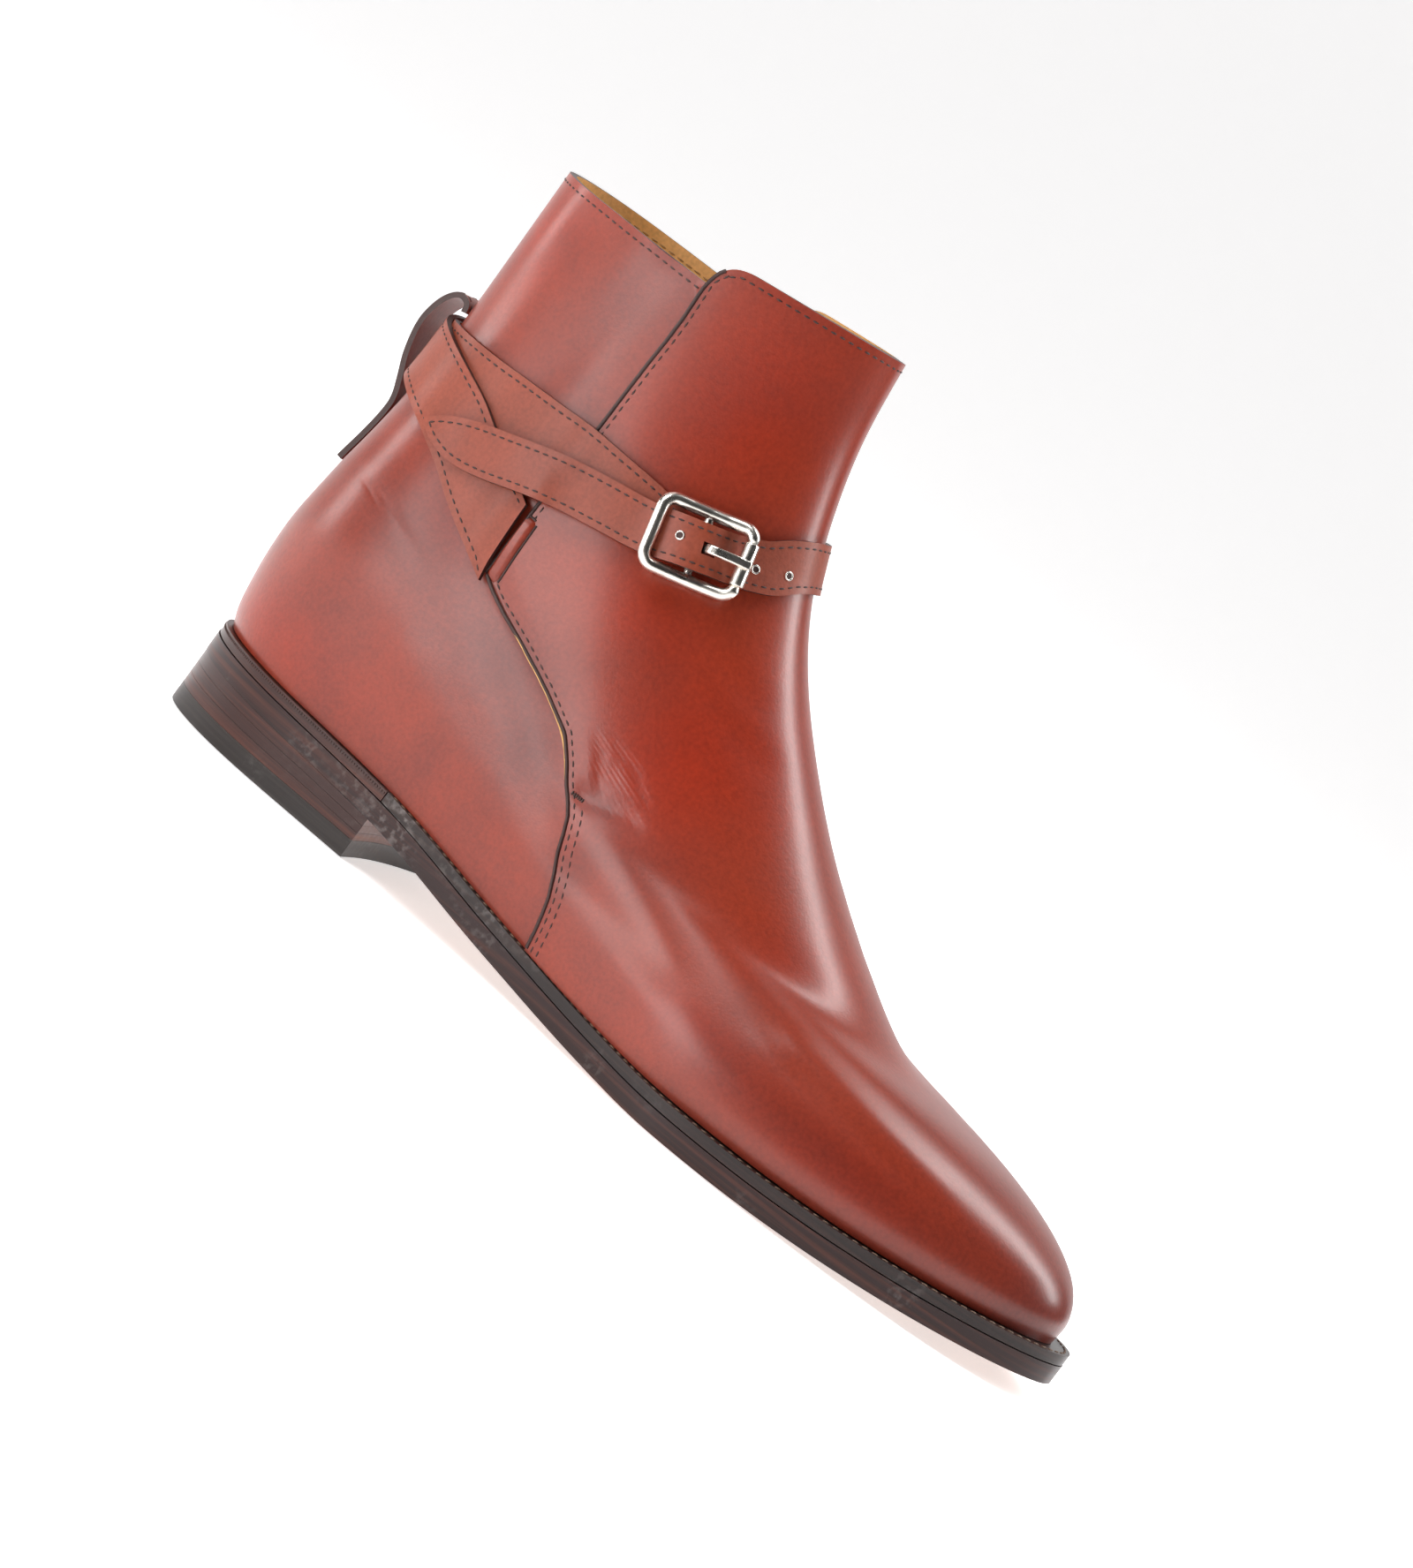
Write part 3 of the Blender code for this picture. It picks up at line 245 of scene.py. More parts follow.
def inset_lines(shell, region, inset, wanted, shortest=0.012):
    """Lines that run a little inside the edge of a region of faces, cut where the edge turns sharply."""
    inside = set(region)
    beside = {}
    for edge in shell.edges:
        if len(edge.link_faces) != 2:
            continue
        one, two = edge.link_faces
        if (one in inside) == (two in inside):
            continue
        top, border = (one, two) if one in inside else (two, one)
        if not wanted(edge, border.normal):
            continue
        push = border.normal - top.normal * border.normal.dot(top.normal)
        for vertex in edge.verts:
            beside.setdefault(vertex, []).append((edge, push.normalized()))
    lines, used = [], set()
    for start in sorted(beside, key=lambda vertex: len(beside[vertex])):
        for edge, _ in beside[start]:
            if edge in used:
                continue
            chain, step = [start], edge
            while step is not None and step not in used:
                used.add(step)
                chain.append(step.other_vert(chain[-1]))
                ways = [way for way, _ in beside[chain[-1]] if way not in used]
                step = ways[0] if ways else None
            run = []
            for place, vertex in enumerate(chain):
                run.append(vertex)
                if 0 < place < len(chain) - 1:
                    before = (vertex.co - chain[place - 1].co).normalized()
                    after = (chain[place + 1].co - vertex.co).normalized()
                    if before.dot(after) < cos(CORNER):
                        lines.append(run)
                        run = [vertex]
            lines.append(run)
    made = []
    for run in lines:
        points = []
        for vertex in run:
            push = sum((away for _, away in beside[vertex]), Vector()).normalized()
            points.append(vertex.co - push * inset)
        length = sum((b - a).length for a, b in zip(points, points[1:]))
        if length > shortest:
            made.append(points)
    return made


def make_active(piece):
    """Selects one piece alone."""
    bpy.ops.object.select_all(action="DESELECT")
    bpy.context.view_layer.objects.active = piece
    piece.select_set(True)


def dress(piece):
    """Fixes a new piece to the boot."""
    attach(piece, "root")


def subdivided(piece, shell):
    """Gives the piece its mesh, keeps its sharp edges by creases, and smooths it by subdivision."""
    creases = shell.edges.layers.float.new("crease_edge")
    for edge in shell.edges:
        if len(edge.link_faces) != 2 or edge.calc_face_angle() > SHARP:
            edge[creases] = 1.0
    shell.to_mesh(piece.data)
    shell.free()
    make_active(piece)
    smooth = piece.modifiers.new("smooth", "SUBSURF")
    smooth.levels = smooth.render_levels = 2
    bpy.ops.object.modifier_apply(modifier=smooth.name)
    piece.data.shade_smooth()
    piece.data.set_sharp_from_angle(angle=SHARP)


def surface_of(piece):
    """A tree that finds the nearest place on a finished piece."""
    mesh = piece.data
    return BVHTree.FromPolygons([vertex.co for vertex in mesh.vertices],
                                [face.vertices for face in mesh.polygons])


def new_group(name, inputs, outputs):
    """An empty shader node group with named sockets."""
    group = bpy.data.node_groups.new(name, "ShaderNodeTree")
    for title, kind, value in inputs:
        socket = group.interface.new_socket(title, in_out="INPUT", socket_type=kind)
        socket.default_value = value
    for title, kind in outputs:
        group.interface.new_socket(title, in_out="OUTPUT", socket_type=kind)
    return group, group.nodes.new("NodeGroupInput"), group.nodes.new("NodeGroupOutput")


def add_node(tree, kind, values=(), **links):
    """One node with some of its values set and some of its inputs linked."""
    node = tree.nodes.new(kind)
    for title, value in values:
        if hasattr(node, title):
            setattr(node, title, value)
        else:
            node.inputs[title].default_value = value
    for title, output in links.items():
        tree.links.new(output, node.inputs[title.replace("_", " ")])
    return node


def mixed(tree, factor, first, second):
    """A colour mix of two outputs or plain colours."""
    node = tree.nodes.new("ShaderNodeMix")
    node.data_type = "RGBA"
    for socket, value in ((node.inputs[0], factor), (node.inputs[6], first), (node.inputs[7], second)):
        if isinstance(value, bpy.types.NodeSocket):
            tree.links.new(value, socket)
        else:
            socket.default_value = (*value, 1)
    return node.outputs[2]


# grain and mottled dye of smooth calf, for every leather of the boot
grain, grain_in, grain_out = new_group(
    "smooth_calf",
    (("Color", "NodeSocketColor", (0.3, 0.05, 0.02, 1)), ("Deep", "NodeSocketColor", (0.1, 0.02, 0.01, 1)),
     ("Mottle", "NodeSocketFloat", 0.35), ("Gloss", "NodeSocketFloat", 0.36),
     ("Grain", "NodeSocketFloat", 0.25)),
    (("Color", "NodeSocketColor"), ("Roughness", "NodeSocketFloat"), ("Normal", "NodeSocketVector")))
place = grain.nodes.new("ShaderNodeTexCoord").outputs["Object"]
clouds = add_node(grain, "ShaderNodeTexNoise", (("Scale", 42.0), ("Detail", 4.0), ("Roughness", 0.6)),
                  Vector=place)
specks = add_node(grain, "ShaderNodeTexNoise", (("Scale", 900.0), ("Detail", 3.0)), Vector=place)
pores = add_node(grain, "ShaderNodeTexVoronoi", (("Scale", 1500.0),), Vector=place)
cloud_range = add_node(grain, "ShaderNodeMapRange", (("From Min", 0.42), ("From Max", 0.72)),
                       Value=clouds.outputs[0])
weight = add_node(grain, "ShaderNodeMath", (("operation", "MULTIPLY"),))
grain.links.new(cloud_range.outputs[0], weight.inputs[0])
grain.links.new(grain_in.outputs["Mottle"], weight.inputs[1])
dyed = mixed(grain, weight.outputs[0], grain_in.outputs["Color"], grain_in.outputs["Deep"])
speck_range = add_node(grain, "ShaderNodeMapRange",
                       (("From Min", 0.3), ("From Max", 0.7), ("To Min", 0.86), ("To Max", 1.12)),
                       Value=specks.outputs[0])
speckled = add_node(grain, "ShaderNodeVectorMath", (("operation", "SCALE"),), Vector=dyed)
grain.links.new(speck_range.outputs[0], speckled.inputs["Scale"])
grain.links.new(speckled.outputs[0], grain_out.inputs["Color"])
shine = add_node(grain, "ShaderNodeMath", (("operation", "MULTIPLY_ADD"),))
shine.inputs[1].default_value = 0.10
grain.links.new(clouds.outputs[0], shine.inputs[0])
grain.links.new(grain_in.outputs["Gloss"], shine.inputs[2])
grain.links.new(shine.outputs[0], grain_out.inputs["Roughness"])
relief = add_node(grain, "ShaderNodeMath", (("operation", "MULTIPLY_ADD"),))
relief.inputs[1].default_value = 0.6
grain.links.new(pores.outputs["Distance"], relief.inputs[0])
grain.links.new(specks.outputs[0], relief.inputs[2])
bump = add_node(grain, "ShaderNodeBump", (("Distance", 0.00012),), Height=relief.outputs[0],
                Strength=grain_in.outputs["Grain"])
grain.links.new(bump.outputs[0], grain_out.inputs["Normal"])


def grouped_material(name, shared, values, coat, coat_roughness, specular):
    """A material that takes its colour, roughness and normal from a shared group."""
    made = bpy.data.materials.new(name)
    made.use_nodes = True
    tree = made.node_tree
    shader = tree.nodes["Principled BSDF"]
    group = tree.nodes.new("ShaderNodeGroup")
    group.node_tree = shared
    for title, value in values:
        group.inputs[title].default_value = (*value, 1) if isinstance(value, tuple) else value
    tree.links.new(group.outputs["Color"], shader.inputs["Base Color"])
    tree.links.new(group.outputs["Roughness"], shader.inputs["Roughness"])
    tree.links.new(group.outputs["Normal"], shader.inputs["Normal"])
    shader.inputs["Coat Weight"].default_value = coat
    shader.inputs["Coat Roughness"].default_value = coat_roughness
    shader.inputs["Specular IOR Level"].default_value = specular
    return made, tree, group


def calf(name, colour, deep, mottle, gloss, grain_depth, coat, toned=False):
    """A leather: the shared grain, its own colours, and a wax coat."""
    values = (("Color", colour), ("Deep", deep), ("Mottle", mottle), ("Gloss", gloss), ("Grain", grain_depth))
    made, tree, group = grouped_material(name, grain, values, coat, 0.22, 0.45)
    if toned:
        red = add_node(tree, "ShaderNodeAttribute", (("attribute_name", "red_dye"),))
        plum_and_shade = add_node(tree, "ShaderNodeAttribute", (("attribute_name", "plum_dye_and_shade"),))
        reddened = mixed(tree, red.outputs["Fac"], colour, CALF_RED)
        # the plum mix paints plum dye and also painted shade
        darkened = mixed(tree, plum_and_shade.outputs["Fac"], reddened, CALF_PLUM_AND_SHADE)
        tree.links.new(darkened, group.inputs["Color"])
    return made


upper, upper_shell = merged_copy("upper", "calf_upper")
regions = face_regions(upper_shell)
heart = Vector((0.08, 0.0, 0.07))


def flux(region):
    """How far a group of faces looks away from the middle of the boot."""
    return sum(face.calc_area() * face.normal.dot(face.calc_center_median() - heart) for face in region)


large = regions[:3]
lining_faces = min(large, key=flux)
panel_faces, quarter_faces = sorted((region for region in large if region is not lining_faces),
                                    key=lambda region: -max(face.calc_center_median().x for face in region))
for number, region in ((0, panel_faces), (1, quarter_faces), (2, lining_faces)):
    for face in region:
        face.material_index = number
for region in regions[3:]:
    for face in region:
        face.material_index = 3


def is_rim(edge, border):
    """True where the narrow face beyond the edge looks up."""
    return border.z > 0.7


def is_seam(edge, border):
    """True along the panel's lapped edge, and not at its rim or at the welt."""
    return abs(border.z) < 0.8 or (border.z < 0 and edge.verts[0].co.z > 0.045)


EDGE_CORD, PANEL_STITCH, SECOND_STITCH = 0.0002, 0.0019, 0.0040
COLLAR_STITCH, LINING_STITCH = 0.0022, 0.0030
SEAM_LENGTH = 0.05
panel_edge = inset_lines(upper_shell, panel_faces, EDGE_CORD, is_seam, shortest=SEAM_LENGTH)
panel_rows = inset_lines(upper_shell, panel_faces, PANEL_STITCH, is_seam, shortest=SEAM_LENGTH)
second_rows = inset_lines(upper_shell, panel_faces, SECOND_STITCH, is_seam, shortest=SEAM_LENGTH)
collar_rows = (inset_lines(upper_shell, panel_faces, COLLAR_STITCH, is_rim)
               + inset_lines(upper_shell, quarter_faces, COLLAR_STITCH, is_rim))
lining_rows = inset_lines(upper_shell, lining_faces, LINING_STITCH, is_rim)
subdivided(upper, upper_shell)
upper.data.materials.append(calf("panel_calf", CALF, CALF_PLUM_AND_SHADE, 0.30, 0.30, 0.22, 0.30, toned=True))
upper.data.materials.append(calf("quarter_calf", CALF, CALF_PLUM_AND_SHADE, 0.45, 0.30, 0.22, 0.30, toned=True))
upper.data.materials.append(calf("tan_lining", LINING, (0.55, 0.27, 0.08), 0.3, 0.55, 0.35, 0.0))
upper.data.materials.append(calf("dark_edge_and_shade", CALF_EDGE_AND_SHADE, (0.02, 0.008, 0.006), 0.4, 0.45, 0.3, 0.1))

count = len(upper.data.vertices)
spots = np.zeros(count * 3, np.float32)
upper.data.vertices.foreach_get("co", spots)
spots = spots.reshape(-1, 3).astype(float)
red_dye, plum_dye_and_shade = np.zeros(count), np.zeros(count)
# the plum share paints plum dye and also painted shade beside the panel's seam and low on the vamp by the
# welt
for x, z, along, high, red_share, plum_and_shade_share in TONES_AND_SHADE:
    near = np.exp(-(((spots[:, 0] - x) / along) ** 2 + ((spots[:, 2] - z) / high) ** 2))
    red_dye += red_share * near
    plum_dye_and_shade += plum_and_shade_share * near
for title, values in (("red_dye", red_dye), ("plum_dye_and_shade", plum_dye_and_shade)):
    layer = upper.data.attributes.new(title, "FLOAT", "POINT")
    layer.data.foreach_set("value", np.clip(values, 0, 1).astype(np.float32))

normals = np.zeros(count * 3, np.float32)
upper.data.vertices.foreach_get("normal", normals)
normals = normals.reshape(-1, 3).astype(float)
outer = np.zeros(count, bool)
for face in upper.data.polygons:
    if face.material_index < 2:
        outer[list(face.vertices)] = True
FADE_AT_CENTRE, FADE_FROM, FADE_OVER = 0.006, 0.024, 0.01
hollows, swells = np.zeros(count), np.zeros(count)
for x0, z0, x1, z1, half_width, deep, side in CREASES:
    along = np.array((x1 - x0, z1 - z0))
    offset = spots[:, (0, 2)] - (x0, z0)
    share = np.clip(offset @ along / (along @ along), 0, 1)
    away = np.hypot(*(offset - share[:, None] * along).T)
    row = deep * np.exp(-(away / half_width) ** 2)
    if side:
        row[np.sign(spots[:, 1]) != side] = 0
    row *= np.clip(np.abs(spots[:, 1]) / FADE_AT_CENTRE, 0, 1)
    hollows = np.maximum(hollows, row)
    swells = np.minimum(swells, row)
above_welt = np.clip((spots[:, 2] - FADE_FROM) / FADE_OVER, 0, 1)
spots -= normals * ((hollows + swells) * outer * above_welt)[:, None]
upper.data.vertices.foreach_set("co", spots.astype(np.float32).ravel())
upper.data.update()
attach(upper, "root")
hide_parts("upper")
upper_surface = surface_of(upper)

# Stitching of the upper: dark waxed thread, a row inside the panel's edge and another round the collar,
# doubled below the tack where the panel is closed down to the welt.
STITCH_LONG, STITCH_GAP, STITCH_WIDE, STITCH_HIGH = 0.0019, 0.0008, 0.00028, 0.00020
bpy.ops.mesh.primitive_uv_sphere_add(segments=6, ring_count=4, radius=1)
pattern = bpy.context.object
pattern_points = np.array([vertex.co for vertex in pattern.data.vertices])
pattern_faces = [tuple(face.vertices) for face in pattern.data.polygons]
bpy.data.objects.remove(pattern)


def speckled_material(name, first, second, scale):
    """A material whose colour varies finely between two, with its shader and its noise."""
    made = bpy.data.materials.new(name)
    made.use_nodes = True
    tree = made.node_tree
    shader = tree.nodes["Principled BSDF"]
    where = tree.nodes.new("ShaderNodeTexCoord").outputs["Object"]
    noise = add_node(tree, "ShaderNodeTexNoise", (("Scale", scale),), Vector=where)
    tree.links.new(mixed(tree, noise.outputs[0], first, second), shader.inputs["Base Color"])
    return made, shader, noise


def thread_of(name, first, second, roughness, scale=1800.0):
    """Waxed thread of uneven colour."""
    made, shader, _ = speckled_material(name, first, second, scale)
    shader.inputs["Roughness"].default_value = roughness
    return made


def evenly(points, pitch):
    """Places at even steps along a line, with the line's direction there."""
    line = np.array(points, float)
    run = np.concatenate(([0], np.cumsum(np.linalg.norm(np.diff(line, axis=0), axis=1))))
    steps = max(int(run[-1] / pitch), 1)
    at = (np.arange(steps) + 0.5) * run[-1] / steps
    here = np.stack([np.interp(at, run, line[:, axis]) for axis in range(3)], axis=1)
    ahead = np.stack([np.interp(at + pitch / 2, run, line[:, axis]) for axis in range(3)], axis=1)
    behind = np.stack([np.interp(at - pitch / 2, run, line[:, axis]) for axis in range(3)], axis=1)
    return here, ahead - behind


def sew(name, lines, surface, paint, long=STITCH_LONG, gap=STITCH_GAP, wide=STITCH_WIDE,
        high=STITCH_HIGH, keep=lambda place: True, reach=0.004):
    """Rows of stitches on a surface, joined in one piece."""
    points, faces = [], []
    for line in lines:
        for here, way in zip(*evenly(line, long + gap)):
            near, normal, _, distance = surface.find_nearest(Vector(here))
            if near is None or distance > reach or not keep(near):
                continue
            along = Vector(way)
            along = (along - normal * along.dot(normal)).normalized()
            across = normal.cross(along)
            first = len(points)
            for x, y, z in pattern_points:
                points.append(near + along * (x * long / 2) + across * (y * wide) + normal * (z * high))
            faces += [tuple(first + index for index in face) for face in pattern_faces]
    mesh = bpy.data.meshes.new(name)
    mesh.from_pydata(points, [], faces)
    mesh.shade_smooth()
    mesh.materials.append(paint)
    piece = bpy.data.objects.new(name, mesh)
    bpy.context.scene.collection.objects.link(piece)
    dress(piece)


TACK_HEIGHT, TACK_HALF = 0.0516, 0.0008
TACK_PLACES = (0.0812, 0.0819, 0.0826, 0.0833, 0.0840, 0.0847)
OUT_FROM_CENTRE = 0.036
thread = thread_of("dark_thread", (0.030, 0.014, 0.012), (0.075, 0.030, 0.022), 0.55)
lining_thread = thread_of("tan_thread", (0.30, 0.15, 0.05), (0.45, 0.25, 0.09), 0.6)
sew("panel_stitching", panel_rows, upper_surface, thread)
sew("panel_second_row", second_rows, upper_surface, thread,
    keep=lambda place: place.z < TACK_HEIGHT - 0.001 and abs(place.y) > 0.02)
sew("collar_stitching", collar_rows, upper_surface, thread)
sew("lining_stitching", lining_rows, upper_surface, lining_thread, long=0.0024, gap=0.0005)

# The panel's folded edge: a dark cord of leather along it, with a sliver of tan lining behind it
# where the edge stands off the quarter, and a tack of close stitches where the second row starts.
CORD_RADIUS, CORD_SINK, CORD_STEP = 0.00055, 0.0006, 0.0016
LINING_RADIUS, LINING_SINK = 0.00030, 0.0002
LINING_SHIFT = (-0.0010, 0, -0.0006)
LINING_LOW, LINING_TOP = 0.052, 0.0775
dark_edge_and_shade = upper.data.materials["dark_edge_and_shade"]
tan_lining = upper.data.materials["tan_lining"]


def laid_cord(name, line, surface, radius, sink, paint, shift=(0, 0, 0)):
    """A thin round cord lying along a line on a surface."""
    here, _ = evenly(line, CORD_STEP)
    curve = bpy.data.curves.new(name, "CURVE")
    curve.dimensions = "3D"
    curve.bevel_depth = radius
    curve.bevel_resolution = 2
    curve.use_fill_caps = True
    spline = curve.splines.new("POLY")
    placed = []
    for point in here:
        near, normal, _, _ = surface.find_nearest(Vector(point) + Vector(shift))
        placed.append(near + normal * (radius - sink))
    spline.points.add(len(placed) - 1)
    for point, where in zip(spline.points, placed):
        point.co = (*where, 1)
    piece = bpy.data.objects.new(name, curve)
    bpy.context.scene.collection.objects.link(piece)
    make_active(piece)
    bpy.ops.object.convert(target="MESH")
    piece = bpy.context.object
    piece.data.shade_smooth()
    piece.data.materials.clear()
    piece.data.materials.append(paint)
    dress(piece)


for line in panel_edge:
    side = "outer" if line[0].y < 0 else "inner"
    laid_cord(f"panel_edge_cord_{side}", line, upper_surface, CORD_RADIUS, CORD_SINK, dark_edge_and_shade)
    low = [point for point in line if LINING_LOW < point.z < LINING_TOP]
    if len(low) > 2:
        laid_cord(f"panel_lining_edge_{side}", low, upper_surface, LINING_RADIUS, LINING_SINK, tan_lining,
                  shift=LINING_SHIFT)
for side, title in ((-1, "outer"), (1, "inner")):
    rows = [[Vector((x, side * OUT_FROM_CENTRE, TACK_HEIGHT - TACK_HALF)),
             Vector((x, side * OUT_FROM_CENTRE, TACK_HEIGHT + TACK_HALF))] for x in TACK_PLACES]
    sew("tack_" + title, rows, upper_surface, thread,
        long=0.0014, gap=0.0001, wide=0.00036, high=0.0004)

# Keepers: a narrow stitched strip of calf on each side of the panel, over the slot that the strap's base
# passes through. It is skived at its edges and sewn all round.
KEEPER = ((0.0232, 0.1000), (0.0248, 0.0802), (0.0291, 0.0802), (0.0284, 0.0997))
KEEPER_HIGH, KEEPER_SUNK, KEEPER_THICK = 0.0007, 0.0002, 0.0005
KEEPER_SEAM, KEEPER_SEAM_SINK = 0.00032, 0.0003
KEEPER_OUT = 0.034
for side, title in ((-1, "outer"), (1, "inner")):
    name = "keeper_" + title
    strip = bmesh.new()
    columns, rows = 5, 12
    grid = []
    for row in range(rows + 1):
        t = row / rows
        left_end = np.array(KEEPER[1]) * (1 - t) + np.array(KEEPER[0]) * t
        right_end = np.array(KEEPER[2]) * (1 - t) + np.array(KEEPER[3]) * t
        line = []
        for column in range(columns + 1):
            s = column / columns
            x, z = left_end * (1 - s) + right_end * s
            near, normal, _, _ = upper_surface.find_nearest(Vector((x, side * KEEPER_OUT, z)))
            border = row in (0, rows) or column in (0, columns)
            line.append(strip.verts.new(near + normal * (-KEEPER_SUNK if border else KEEPER_HIGH)))
        grid.append(line)
    for row in range(rows):
        for column in range(columns):
            ring = [grid[row][column], grid[row][column + 1],
                    grid[row + 1][column + 1], grid[row + 1][column]]
            strip.faces.new(ring if side < 0 else ring[::-1])
    mesh = bpy.data.meshes.new(name)
    keeper = bpy.data.objects.new(name, mesh)
    bpy.context.scene.collection.objects.link(keeper)
    strip.to_mesh(mesh)
    strip.free()
    make_active(keeper)
    wall = keeper.modifiers.new("wall", "SOLIDIFY")
    wall.thickness = KEEPER_THICK
    wall.offset = -1
    bpy.ops.object.modifier_apply(modifier=wall.name)
    round_off = keeper.modifiers.new("round", "SUBSURF")
    round_off.levels = round_off.render_levels = 2
    bpy.ops.object.modifier_apply(modifier=round_off.name)
    keeper.data.shade_smooth()
    keeper.data.materials.append(upper.data.materials["panel_calf"])
    dress(keeper)
    ring = [Vector((x, side * OUT_FROM_CENTRE, z)) for x, z in KEEPER]
    for number in range(4):
        laid_cord(f"{name}_seam_{number + 1}", [ring[number], ring[(number + 1) % 4]], upper_surface,
                  KEEPER_SEAM, KEEPER_SEAM_SINK, dark_edge_and_shade)

# Straps and pull loop: two layers of flatter, more orange calf sewn near both edges, edges inked dark.
# The long one goes round the ankle and through the buckle, the shorter one carries the buckle.
SHAFT_MIDDLE = 0.03
strap_calf = calf("strap_calf", (0.290, 0.056, 0.026), (0.150, 0.036, 0.022), 0.45, 0.42, 0.30, 0.10)
for node, name, inset in (("long_strap", "long_strap_leather", 0.0018),
                          ("buckle_strap", "buckle_strap_leather", 0.0018),
                          ("pull_loop", "pull_loop_leather", 0.0016)):
    strap, strap_shell = merged_copy(node, name)
    strap_regions = face_regions(strap_shell)
    outward = []
    for region in strap_regions[:2]:
        outward.append(sum(face.calc_area() * face.normal.dot(
            Vector((face.calc_center_median().x - SHAFT_MIDDLE, face.calc_center_median().y, 0)))
            for face in region))
    top_faces = strap_regions[0] if outward[0] >= outward[1] else strap_regions[1]
    for region in strap_regions[2:]:
        for face in region:
            face.material_index = 1
    edge_rows = inset_lines(strap_shell, top_faces, inset, lambda edge, border: True, shortest=0.03)
    subdivided(strap, strap_shell)
    strap.data.materials.append(strap_calf)
    strap.data.materials.append(dark_edge_and_shade)
    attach(strap, "root")
    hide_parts(node)
    strap_surface = surface_of(strap)
    sew(node + "_stitching", edge_rows, strap_surface, thread, reach=0.0015)
    if node == "long_strap":
        long_surface = strap_surface

# Eyelets: small plated rings pressed into the long strap's holes, each over a dark disc of painted shade in
# place of the hole.
HOLES = ((0.0619, -0.0337, 0.1199), (0.0790, -0.0200, 0.1240), (0.0838, -0.0115, 0.1268))
EYELET_RADIUS, EYELET_WIRE, EYELET_RAISE = 0.00105, 0.00026, 0.00008
SHADE_DISC_RADIUS, SHADE_DISC_RAISE = 0.00095, 0.00012


def plated(name, first, second, scale, smoothest, roughest):
    """Nickel plate, its colour and polish slightly uneven."""
    made, shader, noise = speckled_material(name, first, second, scale)
    polish_range = add_node(made.node_tree, "ShaderNodeMapRange",
                            (("To Min", smoothest), ("To Max", roughest)), Value=noise.outputs[0])
    made.node_tree.links.new(polish_range.outputs[0], shader.inputs["Roughness"])
    shader.inputs["Metallic"].default_value = 1.0
    return made


eyelet_metal = plated("eyelet_nickel", (0.80, 0.77, 0.72), (0.80, 0.77, 0.72), 700.0, 0.18, 0.34)
for number, hole in enumerate(HOLES):
    near, normal, _, _ = long_surface.find_nearest(Vector(hole))
    turn = normal.to_track_quat("Z", "Y")
    bpy.ops.mesh.primitive_torus_add(major_radius=EYELET_RADIUS, minor_radius=EYELET_WIRE,
                                     major_segments=24, minor_segments=8,
                                     location=near + normal * EYELET_RAISE, rotation=turn.to_euler())
    ring = bpy.context.object
    ring.name = f"eyelet_{number + 1}"
    bpy.ops.object.transform_apply(location=True, rotation=True, scale=True)
    ring.data.shade_smooth()
    ring.data.materials.append(eyelet_metal)
    # a flat dark disc of painted shade stands for the hole, which is not cut
    bpy.ops.mesh.primitive_circle_add(radius=SHADE_DISC_RADIUS, vertices=20, fill_type="NGON",
                                      location=near + normal * SHADE_DISC_RAISE, rotation=turn.to_euler())
    shade_disc = bpy.context.object
    shade_disc.name = f"eyelet_shade_disc_{number + 1}"
    bpy.ops.object.transform_apply(location=True, rotation=True, scale=True)
    shade_disc.data.materials.append(dark_edge_and_shade)
    dress(ring)
    dress(shade_disc)

# Buckle: a nickel-plated roller buckle, cast in one with its hinge bar, polished and slightly scratched.
# The roller turns on the front bar and the prong hooks round the hinge bar.
nickel = plated("polished_nickel", (0.93, 0.90, 0.83), (0.86, 0.82, 0.74), 120.0, 0.24, 0.32)
VOXEL = 0.00016
POLISHING = {"buckle_frame": 60, "buckle_roller": 10, "buckle_prong": 24}
PLATING = {"buckle_frame": 0.00032, "buckle_roller": 0.00012, "buckle_prong": 0.00015}
for node in POLISHING:
    metal, metal_shell = merged_copy(node, node + "_plated")
    metal_shell.to_mesh(metal.data)
    metal_shell.free()
    make_active(metal)
    fine_mesh = metal.modifiers.new("fine_mesh", "REMESH")
    fine_mesh.mode = "VOXEL"
    fine_mesh.voxel_size = VOXEL
    fine_mesh.use_smooth_shade = True
    plating = metal.modifiers.new("plating", "DISPLACE")
    plating.strength = PLATING[node]
    plating.mid_level = 0
    polish = metal.modifiers.new("polish", "SMOOTH")
    polish.factor = 0.5
    polish.iterations = POLISHING[node]
    for modifier in (fine_mesh, plating, polish):
        bpy.ops.object.modifier_apply(modifier=modifier.name)
    metal.data.materials.append(nickel)
    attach(metal, "root")
    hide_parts(node)

# Sole and heel: leather outsole, storm welt and stacked lifts, inked and burnished almost black,
# with brown streaks along the layers, a wheeled line round the seat and pale scuffs scattered over them.
streaks, streaks_in, streaks_out = new_group(
    "burnished_layers",
    (("Dark", "NodeSocketColor", (0.05, 0.02, 0.02, 1)),
     ("Streak", "NodeSocketColor", (0.12, 0.05, 0.035, 1)),
     ("Scuff", "NodeSocketColor", (0.45, 0.40, 0.38, 1)), ("Scuffing", "NodeSocketFloat", 0.3)),
    (("Color", "NodeSocketColor"), ("Roughness", "NodeSocketFloat"), ("Normal", "NodeSocketVector")))
sole_place = streaks.nodes.new("ShaderNodeTexCoord").outputs["Object"]
drawn = add_node(streaks, "ShaderNodeMapping", (("Scale", (18.0, 18.0, 900.0)),), Vector=sole_place)
layers = add_node(streaks, "ShaderNodeTexNoise", (("Scale", 1.0), ("Detail", 5.0)), Vector=drawn.outputs[0])
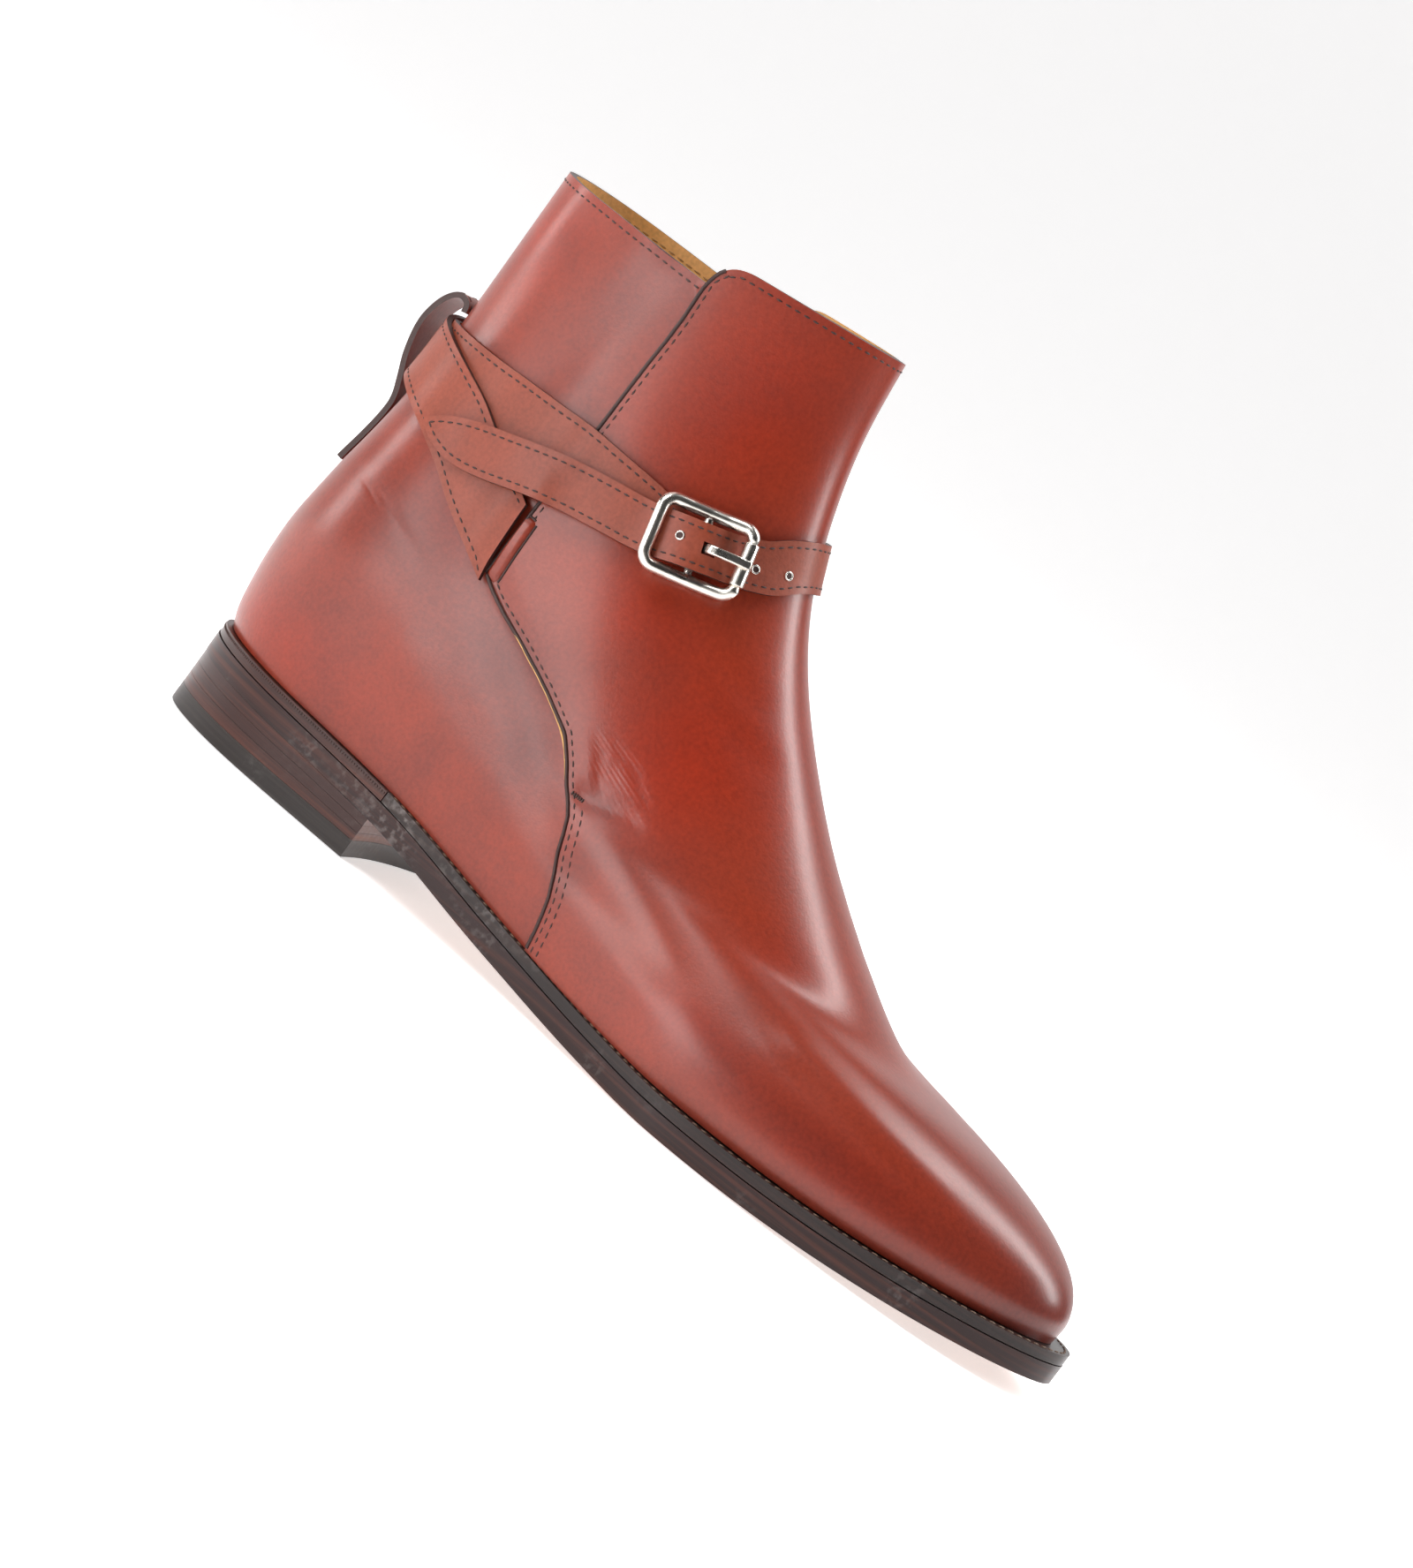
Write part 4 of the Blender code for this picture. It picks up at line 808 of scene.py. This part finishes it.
layer_range = add_node(streaks, "ShaderNodeMapRange", (("From Min", 0.45), ("From Max", 0.7)),
                       Value=layers.outputs[0])
fine = add_node(streaks, "ShaderNodeTexNoise", (("Scale", 520.0), ("Detail", 5.0)), Vector=sole_place)
patches = add_node(streaks, "ShaderNodeTexNoise", (("Scale", 30.0), ("Detail", 2.0)), Vector=sole_place)
patch_range = add_node(streaks, "ShaderNodeMapRange", (("From Min", 0.55), ("From Max", 0.70)),
                       Value=patches.outputs[0])
fine_range = add_node(streaks, "ShaderNodeMapRange", (("From Min", 0.48), ("From Max", 0.66)),
                      Value=fine.outputs[0])
scuff_share = add_node(streaks, "ShaderNodeMath", (("operation", "MULTIPLY"),))
streaks.links.new(patch_range.outputs[0], scuff_share.inputs[0])
streaks.links.new(fine_range.outputs[0], scuff_share.inputs[1])
scuff_amount = add_node(streaks, "ShaderNodeMath", (("operation", "MULTIPLY"),))
streaks.links.new(scuff_share.outputs[0], scuff_amount.inputs[0])
streaks.links.new(streaks_in.outputs["Scuffing"], scuff_amount.inputs[1])
streaked = mixed(streaks, layer_range.outputs[0], streaks_in.outputs["Dark"], streaks_in.outputs["Streak"])
scuffed = mixed(streaks, scuff_amount.outputs[0], streaked, streaks_in.outputs["Scuff"])
streaks.links.new(scuffed, streaks_out.inputs["Color"])
rough_range = add_node(streaks, "ShaderNodeMapRange", (("To Min", 0.24), ("To Max", 0.46)),
                       Value=layers.outputs[0])
streaks.links.new(rough_range.outputs[0], streaks_out.inputs["Roughness"])
sole_bump = add_node(streaks, "ShaderNodeBump", (("Distance", 0.0002), ("Strength", 0.25)),
                     Height=layers.outputs[0])
streaks.links.new(sole_bump.outputs[0], streaks_out.inputs["Normal"])


def burnished(name, dark, streak, scuffing, coat):
    """Inked edge leather with its own darkness and amount of scuffs."""
    values = (("Dark", dark), ("Streak", streak), ("Scuffing", scuffing))
    made, _, _ = grouped_material(name, streaks, values, coat, 0.2, 0.3)
    return made


# the lifts' tops are raised, so the thin gaps between the solids don't show as black lines
LIFT_RAISE = 0.00024
WELT_STITCH, SEAT_LINE = 0.0016, 0.0009
welt_thread = thread_of("brown_thread", (0.12, 0.070, 0.045), (0.24, 0.15, 0.10), 0.6, 1500.0)
heel_stack = burnished("heel_stack", (0.040, 0.013, 0.010), (0.095, 0.027, 0.016), 0.05, 0.2)
sole_edge = burnished("sole_edge", (0.026, 0.010, 0.009), (0.075, 0.024, 0.016), 0.22, 0.12)
welt_edge = burnished("welt_edge", (0.020, 0.013, 0.012), (0.045, 0.024, 0.020), 0.35, 0.15)
breast_face = burnished("heel_breast", (0.150, 0.042, 0.022), (0.260, 0.090, 0.045), 0.15, 0.0)
tread_rubber = burnished("tread_rubber", (0.030, 0.024, 0.022), (0.050, 0.040, 0.036), 0.2, 0.0)
tread_leather = burnished("tread_leather", (0.260, 0.120, 0.060), (0.340, 0.170, 0.090), 0.2, 0.1)
natural_insole = calf("natural_insole", (0.62, 0.42, 0.20), (0.5, 0.3, 0.13), 0.4, 0.6, 0.4, 0.0)
LAYERS = (
    ("top_piece", tread_rubber, "heel_rubber"),
    ("heel_lift_1", heel_stack, "sole_leather"),
    ("heel_lift_2", heel_stack, "sole_leather"),
    ("heel_lift_3", heel_stack, "sole_leather"),
    ("outsole", sole_edge, "sole_leather"),
    ("welt", welt_edge, "sole_leather"),
    ("heel_rand", heel_stack, "sole_leather"),
    ("insole", natural_insole, "insole_leather"),
)
for node, paint, slot in LAYERS:
    layer, layer_shell = merged_copy(node, node + "_finished")
    top_faces = []
    for face in layer_shell.faces:
        if node == "outsole" and face.normal.z < -0.7:
            face.material_index = 1
        elif node.startswith("heel_lift") and face.normal.x > 0.6:
            face.material_index = 1
        if face.normal.z > 0.7:
            top_faces.append(face)
    if node == "welt":
        welt_rows = inset_lines(layer_shell, top_faces, WELT_STITCH, lambda edge, border: border.dot(
            Vector((edge.verts[0].co.x - 0.12, edge.verts[0].co.y, 0))) > 0, shortest=0.1)
    if node == "heel_rand":
        rand_side = [face for face in layer_shell.faces if abs(face.normal.z) < 0.5 and face.normal.dot(
            face.calc_center_median() - Vector((0.01, 0, 0.02))) > 0 and face.normal.x < 0.9]
        seat_rows = inset_lines(layer_shell, rand_side, SEAT_LINE, lambda edge, border: border.z > 0.5,
                                shortest=0.05)
    if node.startswith("heel_lift") or node == "top_piece":
        for vertex in layer_shell.verts:
            if any(face.normal.z > 0.7 for face in vertex.link_faces):
                vertex.co.z += LIFT_RAISE
    subdivided(layer, layer_shell)
    layer.data.materials.append(paint)
    if node == "outsole":
        layer.data.materials.append(tread_leather)
    if node.startswith("heel_lift"):
        layer.data.materials.append(breast_face)
    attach(layer, "root")
    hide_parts(node)
    if node == "welt":
        sew("welt_stitching", welt_rows, surface_of(layer), welt_thread, long=0.0022,
            gap=0.0007, wide=0.0004, high=0.0003, reach=0.002)
    if node == "heel_rand":
        sew("seat_wheeling", seat_rows, surface_of(layer), thread, long=0.0004, gap=0.0005,
            wide=0.0004, high=0.0002, reach=0.002)
